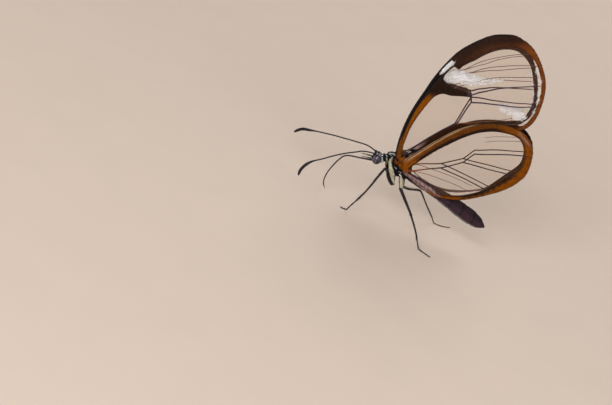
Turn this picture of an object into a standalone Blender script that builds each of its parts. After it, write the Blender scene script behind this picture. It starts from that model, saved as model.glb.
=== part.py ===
"""Glasswing butterfly, life size, wings closed over its back and feet on the floor.

The head faces -X, the left side faces -Y and +Z is up. Sizes below are in millimetres,
measured from a point in the middle of the thorax; stand_on_floor moves the whole animal
so that the feet rest at Z = 0 and the box around it is centred on the origin.
"""
import math

import bmesh
import bpy
from mathutils import Matrix, Vector
from mathutils.geometry import delaunay_2d_cdt

MM = 0.001
GAP = 0.3
FLOOR_Z = -8.72
WELD = 0.00001
BLOCK_SIZE = 60.0

# Thorax, from three rounded masses: centre, half sizes and pitch in degrees
MESOTHORAX = ((0.15, 0.0, 0.25), (2.2, 1.15, 2.0), 12.0)
PROTHORAX = ((-1.72, 0.0, 0.72), (0.62, 0.72, 0.95), 12.0)
METATHORAX = ((1.55, 0.0, -0.55), (1.05, 0.95, 1.15), 12.0)

# Head and eyes
HEAD_CENTRE = (-3.33, 0.0, -0.24)
HEAD_HALF = (0.82, 0.8, 0.9)
HEAD_CUT_Y = 0.45
EYE_HALF = (0.72, 0.68, 0.86)
EYE_CENTRE_Y = 0.62
EYE_CUT_Y = HEAD_CUT_Y + GAP
NECK = ((-2.9, 0.0, 0.05), (-2.0, 0.0, 0.4), 0.5)
COLLAR = ((-2.6, 0.0, 0.08), (0.4, 0.46, 0.8), 4.0)

# Feelers, mouth parts: (x, half distance from the middle, z)
ANTENNA_LEFT = ((-3.9, 0.45, 0.52), (-5.7, 0.9, 0.25), (-7.1, 1.6, -0.25), (-8.5, 2.4, -0.8),
                (-10.0, 3.2, -1.6), (-11.4, 4.2, -2.35), (-12.8, 4.9, -3.2),
                (-13.55, 5.3, -4.1), (-13.9, 5.6, -5.1), (-13.85, 5.8, -6.0))
ANTENNA_RIGHT = ((-3.9, 0.45, 0.6), (-5.4, 0.9, 0.6), (-7.2, 1.6, 0.1), (-9.0, 2.4, -0.55),
                 (-10.7, 3.2, -1.2), (-13.0, 4.3, -2.2), (-14.35, 4.9, -2.85),
                 (-15.25, 5.3, -3.3), (-15.9, 5.6, -4.0), (-16.3, 5.8, -4.7))
ANTENNA_RADIUS = 0.25
CLUB_RADIUS = 0.31
CLUB_SHARE = 0.3
CLUB_WAVE = 2.4
ANTENNA_STEP = 0.95
ANTENNA_TIP_RADIUS = 0.15
PALP = ((-3.95, 0.42, -0.48), (-4.6, 0.52, -0.56), (-5.15, 0.56, -0.7), (-5.6, 0.6, -0.84))
PALP_RADII = (0.26, 0.27, 0.24, 0.12)
PROBOSCIS = ((-3.6, 0.0, -0.88), (-5.0, -0.05, -1.25), (-6.3, -0.1, -1.55), (-7.4, -0.2, -1.78),
             (-8.15, -0.28, -2.2), (-8.6, -0.36, -3.0), (-9.05, -0.5, -4.3), (-9.4, -0.8, -6.2),
             (-9.2, -1.0, -7.55), (-8.65, -1.1, -8.25))
PROBOSCIS_RADII = (0.26, 0.25, 0.25, 0.25, 0.25, 0.25, 0.25, 0.25, 0.22, 0.12)

# Abdomen: (x, z, radius) down the middle line; its sides are flatter than its height
ABDOMEN = ((1.9, -0.75, 0.5), (2.9, -0.98, 0.68), (4.4, -1.18, 0.76), (6.0, -1.36, 0.8),
           (7.6, -1.6, 0.88), (9.3, -1.9, 1.03), (11.2, -2.32, 1.17), (12.9, -2.7, 1.24),
           (14.3, -3.02, 1.2), (15.4, -3.3, 1.0), (16.2, -3.48, 0.72), (16.75, -3.6, 0.36))
ABDOMEN_WIDTH_SHARE = 0.86
SEGMENTS = 7
ABDOMEN_STEP = 0.15
SEGMENT_RINGS = ((0.0, 0.93), (0.28, 1.0), (0.72, 1.01))

# Legs: (x, y, z, radius) at each joint, with the foot's line just over the floor
FOOT_Z = FLOOR_Z + 0.2
COXA_MID = ((-0.75, 0.62, -0.5, 0.56), (0.0, 0.98, -1.75, 0.5), (0.5, 1.2, -2.85, 0.34))
COXA_HIND = ((1.2, 0.6, -0.7, 0.52), (1.7, 0.95, -1.8, 0.45), (2.1, 1.2, -2.8, 0.33))
LEG_MID_LEFT = ((0.45, -1.2, -2.85, 0.33), (-1.8, -3.0, -0.02, 0.29), (-2.9, -4.0, -4.0, 0.26),
                (-3.7, -4.2, -6.5, 0.25), (-4.2, -4.28, -7.75, 0.25),
                (-4.6, -4.3, FOOT_Z, 0.25), (-5.3, -4.35, FOOT_Z, 0.22))
LEG_MID_RIGHT = ((0.5, 1.2, -2.85, 0.33), (-1.05, 2.64, -2.65, 0.3), (-1.6, 3.1, -5.6, 0.26),
                 (-2.0, 3.2, -7.9, 0.25), (-2.35, 3.0, FOOT_Z, 0.25), (-2.65, 1.6, FOOT_Z, 0.22))
LEG_HIND_LEFT = ((1.95, -1.3, -2.85, 0.33), (4.9, -4.2, -4.85, 0.32), (6.6, -5.8, -6.5, 0.26),
                 (7.35, -6.4, -7.5, 0.25), (8.4, -6.9, FOOT_Z, 0.25),
                 (10.0, -7.7, FOOT_Z, 0.22))
LEG_HIND_RIGHT = ((2.1, 1.2, -2.8, 0.32), (2.8, 1.5, -3.65, 0.3), (5.75, 3.0, -3.7, 0.29),
                  (9.6, 4.45, -7.75, 0.25),
                  (10.5, 4.6, FOOT_Z, 0.25), (11.6, 4.7, FOOT_Z, 0.25),
                  (12.95, 5.4, FOOT_Z, 0.22))
FORELEG = ((-0.75, 0.42, -0.9, 0.3), (-0.75, 0.44, -1.6, 0.27), (-0.55, 0.46, -2.1, 0.25),
           (-0.2, 0.46, -2.6, 0.13))

# Wings: (x, z) in the plane of the closed wing, root first, then round by the front edge;
# the right wings sit a little differently, so their X and heights are mapped from these
MEMBRANE = 0.5
VEIN_HEIGHT = 0.76
VEIN_HALF_WIDTH = 0.26
FORE_OUTLINE = ((-0.4, 1.2), (-1.15, 2.0), (-1.75, 4.5), (-2.06, 7.8), (-1.95, 11.2), (-1.33, 16.0),
                (-0.57, 19.7), (0.5, 22.5), (3.1, 25.95), (5.0, 27.3), (7.1, 27.95), (10.1, 27.25),
                (12.7, 25.2), (14.6, 22.6), (15.55, 19.5), (15.7, 16.2), (14.4, 14.0), (11.4, 13.1),
                (8.0, 11.1), (5.5, 8.7), (4.2, 6.9), (3.1, 4.9), (2.2, 3.9), (1.2, 3.5), (0.4, 3.1),
                (0.0, 1.9))
HIND_OUTLINE = ((0.25, 1.4), (0.9, 2.9), (2.3, 5.4), (3.7, 7.75), (5.2, 9.95), (6.9, 11.75),
                (8.8, 13.05), (10.9, 14.0), (13.0, 14.45), (14.9, 14.4), (16.8, 13.3),
                (17.9, 11.5), (18.45, 8.4), (17.8, 6.2), (16.4, 4.1), (14.2, 1.95), (11.7, 0.0),
                (10.0, -0.85), (8.1, -1.4), (6.1, -1.45), (4.1, -1.0), (2.3, -0.4), (1.2, -0.1))
FORE_VEINS = {
    "costa": ((-0.9, 2.4), (-1.45, 5.5), (-1.65, 9.5), (-1.15, 14.5), (-0.1, 19.3), (1.9, 23.3)),
    "radius": ((-0.4, 2.6), (-0.7, 6.8), (-0.6, 12.0), (-0.3, 16.8), (0.7, 19.5), (2.5, 21.5),
               (4.6, 24.3), (7.2, 26.0), (9.6, 26.6)),
    "radius_branch": ((1.7, 19.0), (3.5, 21.2), (5.9, 23.5), (8.5, 25.3)),
    "radius_5": ((1.5, 18.0), (3.6, 19.65), (5.9, 21.7), (8.6, 23.3), (11.9, 24.8)),
    "media_1": ((2.6, 16.4), (4.4, 18.05), (7.4, 20.5), (10.2, 21.9), (13.2, 23.3)),
    "discal_bar": ((-0.6, 12.5), (0.2, 14.8), (2.2, 15.2), (4.5, 15.9), (5.6, 15.0)),
    "media_2": ((5.0, 16.1), (7.0, 17.8), (9.5, 19.7), (12.6, 21.5), (14.3, 22.3)),
    "media_3": ((5.6, 15.0), (8.6, 16.15), (11.6, 17.2), (15.1, 18.9)),
    "cubitus": ((0.1, 2.4), (1.95, 6.0), (3.9, 9.15), (5.2, 10.8), (5.4, 13.4), (5.6, 15.0)),
    "cubitus_branch": ((5.2, 10.8), (8.0, 12.1), (11.5, 13.7), (14.9, 15.6)),
}
HIND_VEINS = {
    "costa": ((1.2, 2.6), (3.2, 6.0), (5.3, 9.1), (7.6, 11.6), (10.3, 13.1), (13.4, 13.8),
              (15.4, 13.4)),
    "stem": ((1.6, 0.6), (4.0, 2.0), (6.1, 3.3), (8.8, 5.7), (9.8, 7.8), (13.3, 9.5), (17.2, 11.0)),
    "media_1": ((9.8, 7.8), (9.7, 9.4), (10.4, 10.5), (12.8, 11.8), (16.0, 13.1)),
    "media_3": ((8.8, 5.7), (12.5, 6.5), (17.4, 7.3)),
    "cubitus": ((6.1, 3.2), (10.0, 3.3), (15.0, 3.1)),
    "anal": ((2.2, 0.5), (6.1, 1.5), (9.1, 1.7), (12.4, 1.6)),
}
FORE_SIDE = ((1.3, 1.55), (1.8, 1.37), (2.2, 1.16), (2.6, 0.92), (3.2, 0.66), (4.2, 0.56))
HIND_SIDE = 1.62
SPLAY = 0.008
RIGHT_FORE_ALONG = (0.154, 0.9495)
RIGHT_FORE_HEIGHTS = ((0.0, -0.03), (1.2, 1.17), (6.0, 5.2), (9.0, 8.1), (10.8, 10.1), (14.8, 15.1),
                      (18.4, 18.1), (20.9, 19.7), (22.8, 21.2), (25.3, 24.1), (28.0, 27.0))
RIGHT_HIND_ALONG = (0.3, 1.0)
RIGHT_HIND_HEIGHTS = ((-1.6, -1.75), (0.0, -0.05), (1.5, 1.2), (3.35, 2.65), (5.7, 4.95), (8.0, 7.3),
                      (14.5, 13.8))
EDGE_STEP = 1.1
VEIN_STEP = 1.5
LATTICE_STEP = 2.6
ROW_STEP = LATTICE_STEP * math.sqrt(3) / 2
VEIN_CLEAR = 0.7


def clear_scene():
    for obj in list(bpy.data.objects):
        bpy.data.objects.remove(obj, do_unlink=True)


def new_collection(name):
    collection = bpy.data.collections.new(name)
    bpy.context.scene.collection.children.link(collection)
    return collection


def new_material(name, colour, roughness):
    material = bpy.data.materials.new(name)
    material.use_nodes = True
    shader = material.node_tree.nodes["Principled BSDF"]
    shader.inputs["Base Color"].default_value = (*colour, 1.0)
    shader.inputs["Roughness"].default_value = roughness
    shader.inputs["Metallic"].default_value = 0.0
    return material


def in_metres(point):
    return Vector(point) * MM


def new_object(name, mesh, collection):
    obj = bpy.data.objects.new(name, mesh)
    collection.objects.link(obj)
    return obj


def evaluated_mesh(obj):
    graph = bpy.context.evaluated_depsgraph_get()
    return bpy.data.meshes.new_from_object(obj.evaluated_get(graph))


def ellipsoid(name, centre, half, pitch, collection, segments=20, rings=12):
    mesh = bpy.data.meshes.new(name)
    form = bmesh.new()
    bmesh.ops.create_uvsphere(form, u_segments=segments, v_segments=rings, radius=1.0)
    bmesh.ops.scale(form, vec=in_metres(half), verts=form.verts)
    form.to_mesh(mesh)
    form.free()
    obj = new_object(name, mesh, collection)
    obj.location = in_metres(centre)
    obj.rotation_euler = (0.0, math.radians(pitch), 0.0)
    return obj


def tube(name, points, radii, collection, resolution=2):
    """A tapered tube along a line of points, as a closed mesh."""
    curve = bpy.data.curves.new(name, "CURVE")
    curve.dimensions = "3D"
    curve.bevel_depth = MM
    curve.bevel_resolution = resolution
    curve.use_fill_caps = True
    spline = curve.splines.new("POLY")
    spline.points.add(len(points) - 1)
    for knot, point, radius in zip(spline.points, points, radii):
        knot.co = (*in_metres(point), 1.0)
        knot.radius = radius
    guide = new_object(name + "_line", curve, collection)
    bpy.context.view_layer.update()
    mesh = evaluated_mesh(guide)
    form = bmesh.new()
    form.from_mesh(mesh)
    bmesh.ops.remove_doubles(form, verts=form.verts, dist=WELD)
    form.to_mesh(mesh)
    form.free()
    obj = new_object(name, mesh, collection)
    obj.matrix_world = guide.matrix_world.copy()
    bpy.data.objects.remove(guide, do_unlink=True)
    return obj


def smooth_line(points, step, closed=False):
    """Points about a step apart on a smooth curve through the given ones."""
    knots = [Vector(point) for point in points]
    count = len(knots)
    spans = count if closed else count - 1
    line = []
    for index in range(spans):
        if closed:
            before, start, end, after = (knots[(index + shift) % count] for shift in (-1, 0, 1, 2))
        else:
            start, end = knots[index], knots[index + 1]
            before = knots[index - 1] if index else start * 2 - end
            after = knots[index + 2] if index + 2 < count else end * 2 - start
        pieces = max(1, round((end - start).length / step))
        for piece in range(pieces):
            share = piece / pieces
            line.append(0.5 * (2 * start + (end - before) * share
                               + (2 * before - 5 * start + 4 * end - after) * share ** 2
                               + (3 * start - before - 3 * end + after) * share ** 3))
    if not closed:
        line.append(knots[-1])
    return line


def rounded_line(joints, reach=0.35):
    """The joints of a limb with each bend eased by three points."""
    knots = [Vector(joint) for joint in joints]
    line = [knots[0]]
    for before, knot, after in zip(knots, knots[1:], knots[2:]):
        share_in = min(0.45, reach / (knot - before).length)
        share_out = min(0.45, reach / (after - knot).length)
        first = knot.lerp(before, share_in)
        last = knot.lerp(after, share_out)
        line += [first, (first + last) * 0.25 + knot * 0.5, last]
    return line + [knots[-1]]


def apply_boolean(obj, operation, tool):
    """Join or cut with another object or with all of a collection, then keep one body."""
    change = obj.modifiers.new("change", "BOOLEAN")
    change.operation = operation
    change.solver = "EXACT"
    if isinstance(tool, bpy.types.Collection):
        change.operand_type = "COLLECTION"
        change.collection = tool
    else:
        change.object = tool
    bpy.context.view_layer.update()
    mesh = evaluated_mesh(obj)
    obj.modifiers.clear()
    obj.data = mesh
    keep_largest(mesh)


def keep_largest(mesh):
    form = bmesh.new()
    form.from_mesh(mesh)
    waiting = set(form.faces)
    groups = []
    while waiting:
        group = set()
        edge_of_group = [waiting.pop()]
        while edge_of_group:
            face = edge_of_group.pop()
            group.add(face)
            near = {other for edge in face.edges for other in edge.link_faces} & waiting
            waiting -= near
            edge_of_group += near
        groups.append(group)
    largest = max(groups, key=lambda group: sum(face.calc_area() for face in group))
    spare = [face for face in form.faces if face not in largest]
    bmesh.ops.delete(form, geom=spare, context="FACES")
    form.to_mesh(mesh)
    form.free()


def fuse(pieces):
    """Join closed pieces to the first of them."""
    base, others = pieces[0], pieces[1:]
    joined = new_collection("joined")
    for piece in others:
        joined.objects.link(piece)
    apply_boolean(base, "UNION", joined)
    for piece in others:
        bpy.data.objects.remove(piece, do_unlink=True)
    bpy.data.collections.remove(joined)
    return base


def cut_flat(obj, height, axis, sign):
    """Cut away what lies past a flat plane: axis 1 is Y and axis 2 is Z."""
    middle = [0.0, 0.0, 0.0]
    middle[axis] = height + sign * BLOCK_SIZE / 2
    bpy.ops.mesh.primitive_cube_add(size=BLOCK_SIZE * MM, location=in_metres(middle))
    block = bpy.context.object
    apply_boolean(obj, "DIFFERENCE", block)
    bpy.data.objects.remove(block, do_unlink=True)


def thorax_forms(name, spread, collection):
    masses = (MESOTHORAX, PROTHORAX, METATHORAX)
    pieces = []
    for index, (centre, half, pitch) in enumerate(masses):
        grown = [size + spread for size in half]
        pieces.append(ellipsoid(name if not index else f"{name}_{index}", centre, grown, pitch,
                                collection, segments=24, rings=14))
    return fuse(pieces)


def clear_of_thorax(obj, collection):
    """Trim the root of a piece so that it faces the thorax across the gap."""
    cutter = thorax_forms("thorax_clearance", GAP, collection)
    apply_boolean(obj, "DIFFERENCE", cutter)
    bpy.data.objects.remove(cutter, do_unlink=True)


def build_head(collection, look):
    head = ellipsoid("head", HEAD_CENTRE, HEAD_HALF, 0.0, collection)
    for sign in (-1, 1):
        cut_flat(head, sign * HEAD_CUT_Y, 1, sign)
    start, end, radius = NECK
    neck = tube("neck", (start, end), (radius, radius), collection)
    collar = ellipsoid("collar", *COLLAR, collection)
    fuse([head, neck, collar])
    clear_of_thorax(head, collection)
    head.data.materials.append(look)


def build_eyes(collection, look):
    for side, sign in (("left", -1), ("right", 1)):
        centre = (HEAD_CENTRE[0], sign * EYE_CENTRE_Y, HEAD_CENTRE[2])
        eye = ellipsoid(f"eye_{side}", centre, EYE_HALF, 0.0, collection)
        cut_flat(eye, sign * EYE_CUT_Y, 1, -sign)
        eye.data.materials.append(look)


def clear_of_head(obj, collection):
    """Trim the root of a piece so that it faces the head across the gap."""
    grown = [size + GAP for size in HEAD_HALF]
    cutter = ellipsoid("head_clearance", HEAD_CENTRE, grown, 0.0, collection)
    apply_boolean(obj, "DIFFERENCE", cutter)
    bpy.data.objects.remove(cutter, do_unlink=True)


def build_palps(collection, look):
    for side, sign in (("left", -1), ("right", 1)):
        points = [(x, sign * y, z) for x, y, z in PALP]
        palp = tube(f"palp_{side}", points, PALP_RADII, collection)
        clear_of_head(palp, collection)
        palp.data.materials.append(look)


def build_proboscis(collection, look):
    proboscis = tube("proboscis", PROBOSCIS, PROBOSCIS_RADII, collection)
    clear_of_head(proboscis, collection)
    proboscis.data.materials.append(look)


def build_antennae(collection, look):
    for side, sign, route in (("left", -1, ANTENNA_LEFT), ("right", 1, ANTENNA_RIGHT)):
        line = smooth_line([(x, sign * y, z) for x, y, z in route], ANTENNA_STEP)
        radii = []
        for index in range(len(line)):
            share = max(0.0, (index / (len(line) - 1) - 1 + CLUB_SHARE) / CLUB_SHARE)
            swell = math.sin(share * CLUB_WAVE)
            radii.append(ANTENNA_RADIUS + (CLUB_RADIUS - ANTENNA_RADIUS) * swell)
        radii[-1] = ANTENNA_TIP_RADIUS
        antenna = tube(f"antenna_{side}", line, radii, collection)
        clear_of_head(antenna, collection)
        antenna.data.materials.append(look)


def build_thorax(collection, look):
    thorax = thorax_forms("thorax", 0.0, collection)
    thorax.data.materials.append(look)


def build_abdomen(collection, look):
    fine = smooth_line(ABDOMEN, ABDOMEN_STEP)
    line = []
    for segment in range(SEGMENTS):
        for share, swell in SEGMENT_RINGS:
            x, z, radius = fine[round((segment + share) / SEGMENTS * (len(fine) - 1))]
            line.append(Vector((x, z, radius * swell)))
    line += [fine[-3], fine[-1]]
    points = [(x, 0.0, z) for x, z, _ in line]
    abdomen = tube("abdomen", points, [radius for *_, radius in line], collection, 4)
    abdomen.data.transform(Matrix.Diagonal((1.0, ABDOMEN_WIDTH_SHARE, 1.0, 1.0)))
    clear_of_thorax(abdomen, collection)
    abdomen.data.materials.append(look)


def build_leg(name, coxa, joints, collection, look):
    sign = math.copysign(1.0, joints[0][1])
    lobe_points = [(x, sign * y, z) for x, y, z, _ in coxa]
    lobe = tube(name, lobe_points, [radius for *_, radius in coxa], collection)
    line = rounded_line(joints)
    limb = tube(name + "_limb", [knot[:3] for knot in line], [knot[3] for knot in line], collection)
    leg = fuse([lobe, limb])
    clear_of_thorax(leg, collection)
    cut_flat(leg, FLOOR_Z, 2, -1)
    leg.data.materials.append(look)


def build_legs(collection, look):
    build_leg("midleg_left", COXA_MID, LEG_MID_LEFT, collection, look)
    build_leg("midleg_right", COXA_MID, LEG_MID_RIGHT, collection, look)
    build_leg("hindleg_left", COXA_HIND, LEG_HIND_LEFT, collection, look)
    build_leg("hindleg_right", COXA_HIND, LEG_HIND_RIGHT, collection, look)
    for side, sign in (("left", -1), ("right", 1)):
        points = [(x, sign * y, z) for x, y, z, _ in FORELEG]
        foreleg = tube(f"foreleg_{side}", points, [knot[3] for knot in FORELEG], collection)
        clear_of_thorax(foreleg, collection)
        foreleg.data.materials.append(look)


def distance_to_line(point, line):
    best = math.inf
    for start, end in zip(line, line[1:]):
        span = end - start
        share = max(0.0, min(1.0, (point - start).dot(span) / span.length_squared))
        best = min(best, (point - start - span * share).length)
    return best


def inside(point, loop):
    within = False
    for start, end in zip(loop, loop[1:] + loop[:1]):
        if (start.y > point.y) != (end.y > point.y):
            crossing = start.x + (point.y - start.y) / (end.y - start.y) * (end.x - start.x)
            within ^= point.x < crossing
    return within


def lattice(loop, lines):
    """Points of a loose triangular grid that keep clear of the edge and the veins."""
    low_x, high_x = min(p.x for p in loop), max(p.x for p in loop)
    low_z, high_z = min(p.y for p in loop), max(p.y for p in loop)
    rows = int((high_z - low_z) / ROW_STEP)
    columns = int((high_x - low_x) / LATTICE_STEP) + 1
    points = []
    for row in range(1, rows + 1):
        for column in range(columns + 1):
            x = low_x + (column + 0.5 * (row % 2)) * LATTICE_STEP
            point = Vector((x, low_z + row * ROW_STEP))
            clear = all(distance_to_line(point, line) > VEIN_CLEAR for line in lines)
            if clear and inside(point, loop) and distance_to_line(point, loop + loop[:1]) > VEIN_CLEAR:
                points.append(point)
    return points


def beside(line, offset):
    """The line moved sideways by an offset."""
    moved = []
    for index, point in enumerate(line):
        along = (line[min(index + 1, len(line) - 1)] - line[max(index - 1, 0)]).normalized()
        moved.append(point + Vector((-along.y, along.x)) * offset)
    return moved


def between(knots, value):
    """Straight-line value between knots of (value, result), level past the ends."""
    if value <= knots[0][0]:
        return knots[0][1]
    for (low, at_low), (high, at_high) in zip(knots, knots[1:]):
        if value <= high:
            return at_low + (at_high - at_low) * (value - low) / (high - low)
    return knots[-1][1]


def fore_side(z):
    """Distance of the fore wing's middle surface from the animal's middle plane."""
    return between(FORE_SIDE, z) + SPLAY * max(0.0, z - FORE_SIDE[-1][0])


def hind_side(z):
    """Distance of the hind wing's middle surface from the animal's middle plane."""
    return HIND_SIDE + SPLAY * max(0.0, z - FORE_SIDE[-1][0])


def wing_points(outline, veins):
    loop = smooth_line(outline, EDGE_STEP, closed=True)
    lines = [smooth_line(route, VEIN_STEP) for route in veins.values()]
    points = list(loop)
    edges = [(index, (index + 1) % len(loop)) for index in range(len(loop))]
    for line in lines:
        for row in (line, beside(line, VEIN_HALF_WIDTH), beside(line, -VEIN_HALF_WIDTH)):
            kept = [point for point in row if inside(point, loop)]
            first = len(points)
            points += kept
            edges += [(first + index, first + index + 1) for index in range(len(kept) - 1)]
    points += lattice(loop, lines)
    result = delaunay_2d_cdt(points, edges, [], 1, 0.02)
    return result[0], result[2], lines


def build_wing(name, outline, veins, side_of, sign, place, collection, look):
    """A thin wing whose veins stand up on both faces of the same surface."""
    flat, faces, lines = wing_points(outline, veins)
    mesh = bpy.data.meshes.new(name)
    placed = [place(point) for point in flat]
    verts = [in_metres((x, sign * side_of(z), z)) for x, z in placed]
    order = 1 if sign < 0 else -1
    mesh.from_pydata(verts, [], [face[::order] for face in faces])
    wing = new_object(name, mesh, collection)
    group = wing.vertex_groups.new(name="vein")
    for index, point in enumerate(flat):
        nearest = min(distance_to_line(point, line) for line in lines)
        weight = max(0.0, 1.0 - nearest / VEIN_HALF_WIDTH)
        if weight > 0.01:
            group.add([index], weight, "REPLACE")
    shell = wing.modifiers.new("thickness", "SOLIDIFY")
    shell.thickness = VEIN_HEIGHT * MM
    shell.offset = 0.0
    shell.vertex_group = "vein"
    shell.thickness_vertex_group = MEMBRANE / VEIN_HEIGHT
    mesh.materials.append(look)


def left_place(point):
    return point.x, point.y


def right_fore_place(point):
    return (RIGHT_FORE_ALONG[0] + RIGHT_FORE_ALONG[1] * point.x,
            between(RIGHT_FORE_HEIGHTS, point.y))


def right_hind_place(point):
    return (RIGHT_HIND_ALONG[0] + RIGHT_HIND_ALONG[1] * point.x,
            between(RIGHT_HIND_HEIGHTS, point.y))


def build_wings(collection, look):
    build_wing("forewing_left", FORE_OUTLINE, FORE_VEINS, fore_side, -1, left_place, collection, look)
    build_wing("forewing_right", FORE_OUTLINE, FORE_VEINS, fore_side, 1, right_fore_place,
               collection, look)
    build_wing("hindwing_left", HIND_OUTLINE, HIND_VEINS, hind_side, -1, left_place, collection, look)
    build_wing("hindwing_right", HIND_OUTLINE, HIND_VEINS, hind_side, 1, right_hind_place,
               collection, look)


def stand_on_floor(collection):
    """Move every piece so that the feet are at Z = 0 and the box is centred over the origin."""
    bpy.context.view_layer.update()
    graph = bpy.context.evaluated_depsgraph_get()
    corners = []
    for obj in collection.objects:
        shape = obj.evaluated_get(graph)
        corners += [shape.matrix_world @ vert.co for vert in shape.data.vertices]
    middle_x = (min(c.x for c in corners) + max(c.x for c in corners)) / 2
    middle_y = (min(c.y for c in corners) + max(c.y for c in corners)) / 2
    for obj in collection.objects:
        obj.location -= Vector((middle_x, middle_y, FLOOR_Z * MM))


def main():
    clear_scene()
    animal = new_collection("glasswing_butterfly")
    black = new_material("black_cuticle", (0.03, 0.022, 0.025), 0.6)
    brown = new_material("brown_scales", (0.13, 0.06, 0.06), 0.7)
    eye = new_material("eye_surface", (0.035, 0.02, 0.045), 0.2)
    horn = new_material("feeler_scales", (0.02, 0.016, 0.025), 0.5)
    wing = new_material("wing_membrane", (0.62, 0.42, 0.25), 0.25)
    build_thorax(animal, black)
    build_abdomen(animal, brown)
    build_head(animal, black)
    build_eyes(animal, eye)
    build_palps(animal, horn)
    build_proboscis(animal, horn)
    build_antennae(animal, horn)
    build_legs(animal, black)
    build_wings(animal, wing)
    stand_on_floor(animal)


main()
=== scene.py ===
"""Looks of a life-size glasswing butterfly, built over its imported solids.

Sizes are in millimetres round a point in the middle of the thorax, as in the part's source:
the head faces -X, the left side faces -Y and +Z is up. Each finished piece is scaled to
metres and set in the frame's own place.
"""
import math

import bpy
import numpy as np
from bpy.props import FloatProperty, FloatVectorProperty, PointerProperty
from mathutils import Matrix, Vector
from mathutils.geometry import delaunay_2d_cdt


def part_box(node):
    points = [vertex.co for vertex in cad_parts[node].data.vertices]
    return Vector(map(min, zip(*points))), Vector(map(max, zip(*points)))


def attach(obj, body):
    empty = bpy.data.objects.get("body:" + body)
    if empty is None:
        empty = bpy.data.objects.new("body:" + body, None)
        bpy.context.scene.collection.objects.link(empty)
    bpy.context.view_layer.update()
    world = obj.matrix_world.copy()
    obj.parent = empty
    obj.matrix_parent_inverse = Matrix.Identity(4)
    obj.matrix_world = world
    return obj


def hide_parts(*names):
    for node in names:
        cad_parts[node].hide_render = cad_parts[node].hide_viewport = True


bl_info = {
    "name": "Glasswing Butterfly",
    "version": (1, 0, 0),
    "blender": (4, 5, 0),
    "location": "3D View > Sidebar > Glasswing",
    "description": "Builds the skin, eyes, scales and clear wings of a glasswing butterfly",
    "category": "Add Mesh",
}

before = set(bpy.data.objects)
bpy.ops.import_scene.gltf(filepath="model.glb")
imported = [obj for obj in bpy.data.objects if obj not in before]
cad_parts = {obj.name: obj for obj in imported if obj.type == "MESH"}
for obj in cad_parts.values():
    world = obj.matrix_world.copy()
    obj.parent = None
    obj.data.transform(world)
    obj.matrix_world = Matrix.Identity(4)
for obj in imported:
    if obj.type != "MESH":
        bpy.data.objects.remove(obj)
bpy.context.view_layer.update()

MM = 0.001
TURN = 2 * math.pi
SIDES = (("left", -1), ("right", 1))
HEAD_CENTRE = (-3.33, 0.0, -0.24)
EYE_CENTRE_Y = 0.62
EYE_HALF = (0.72, 0.68, 0.86)
FLOOR_Z = -8.72


def find_origin():
    """The frame's place of the point that all sizes are measured from."""
    low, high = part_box("eye_left")
    return Vector(((low.x + high.x) / 2 - HEAD_CENTRE[0] * MM,
                   low.y + (EYE_CENTRE_Y + EYE_HALF[1]) * MM,
                   -FLOOR_Z * MM))


ORIGIN = find_origin()

# Body: rounded masses as centre, half sizes and pitch in degrees
THORAX = (((0.15, 0.0, 0.25), (2.2, 1.12, 2.0), 12.0),
          ((-1.72, 0.0, 0.72), (0.62, 0.72, 0.95), 12.0),
          ((1.55, 0.0, -0.55), (1.05, 0.95, 1.15), 12.0))
HEAD = (((-3.33, 0.0, -0.24), (0.8, 0.72, 0.88), 0.0),
        ((-3.5, 0.0, 0.35), (0.45, 0.42, 0.4), 0.0),
        ((-3.75, 0.0, -0.75), (0.4, 0.36, 0.34), 0.0))
NECK = ((-2.95, 0.0, 0.05, 0.5), (-2.45, 0.0, 0.16, 0.52), (-1.9, 0.0, 0.42, 0.66))
COLLAR = ((-2.6, 0.0, 0.08), (0.4, 0.62, 0.85), 4.0)
COXA_MID = ((-0.75, 0.62, -0.5, 0.56), (0.0, 0.98, -1.75, 0.5), (0.5, 1.2, -2.85, 0.3))
COXA_HIND = ((1.2, 0.6, -0.7, 0.52), (1.7, 0.95, -1.8, 0.45), (2.1, 1.2, -2.8, 0.3))
WING_HINGES = ((-0.35, 1.0, 1.35, 0.5), (0.1, 1.25, 1.75, 0.42), (0.7, 1.2, 0.75, 0.5),
               (0.3, 0.85, 2.0, 0.4))
ABDOMEN = ((1.4, -0.65, 0.5), (2.9, -0.98, 0.64), (4.4, -1.18, 0.74), (6.0, -1.36, 0.79),
           (7.6, -1.6, 0.87), (9.3, -1.9, 1.01), (11.2, -2.32, 1.15), (12.9, -2.7, 1.22),
           (14.3, -3.02, 1.18), (15.4, -3.3, 0.99), (16.2, -3.48, 0.71), (16.7, -3.59, 0.3))
ABDOMEN_WIDTH_SHARE = 0.86
SEGMENTS = 7
# Swell of each segment at shares of its length
SEGMENT_SWELLS = ((0.0, 0.94), (0.15, 0.99), (0.5, 1.01), (0.88, 1.015))
# The body's unwrap starts at this X and is this long
BODY_START = -4.5
BODY_LENGTH = 21.6

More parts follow.
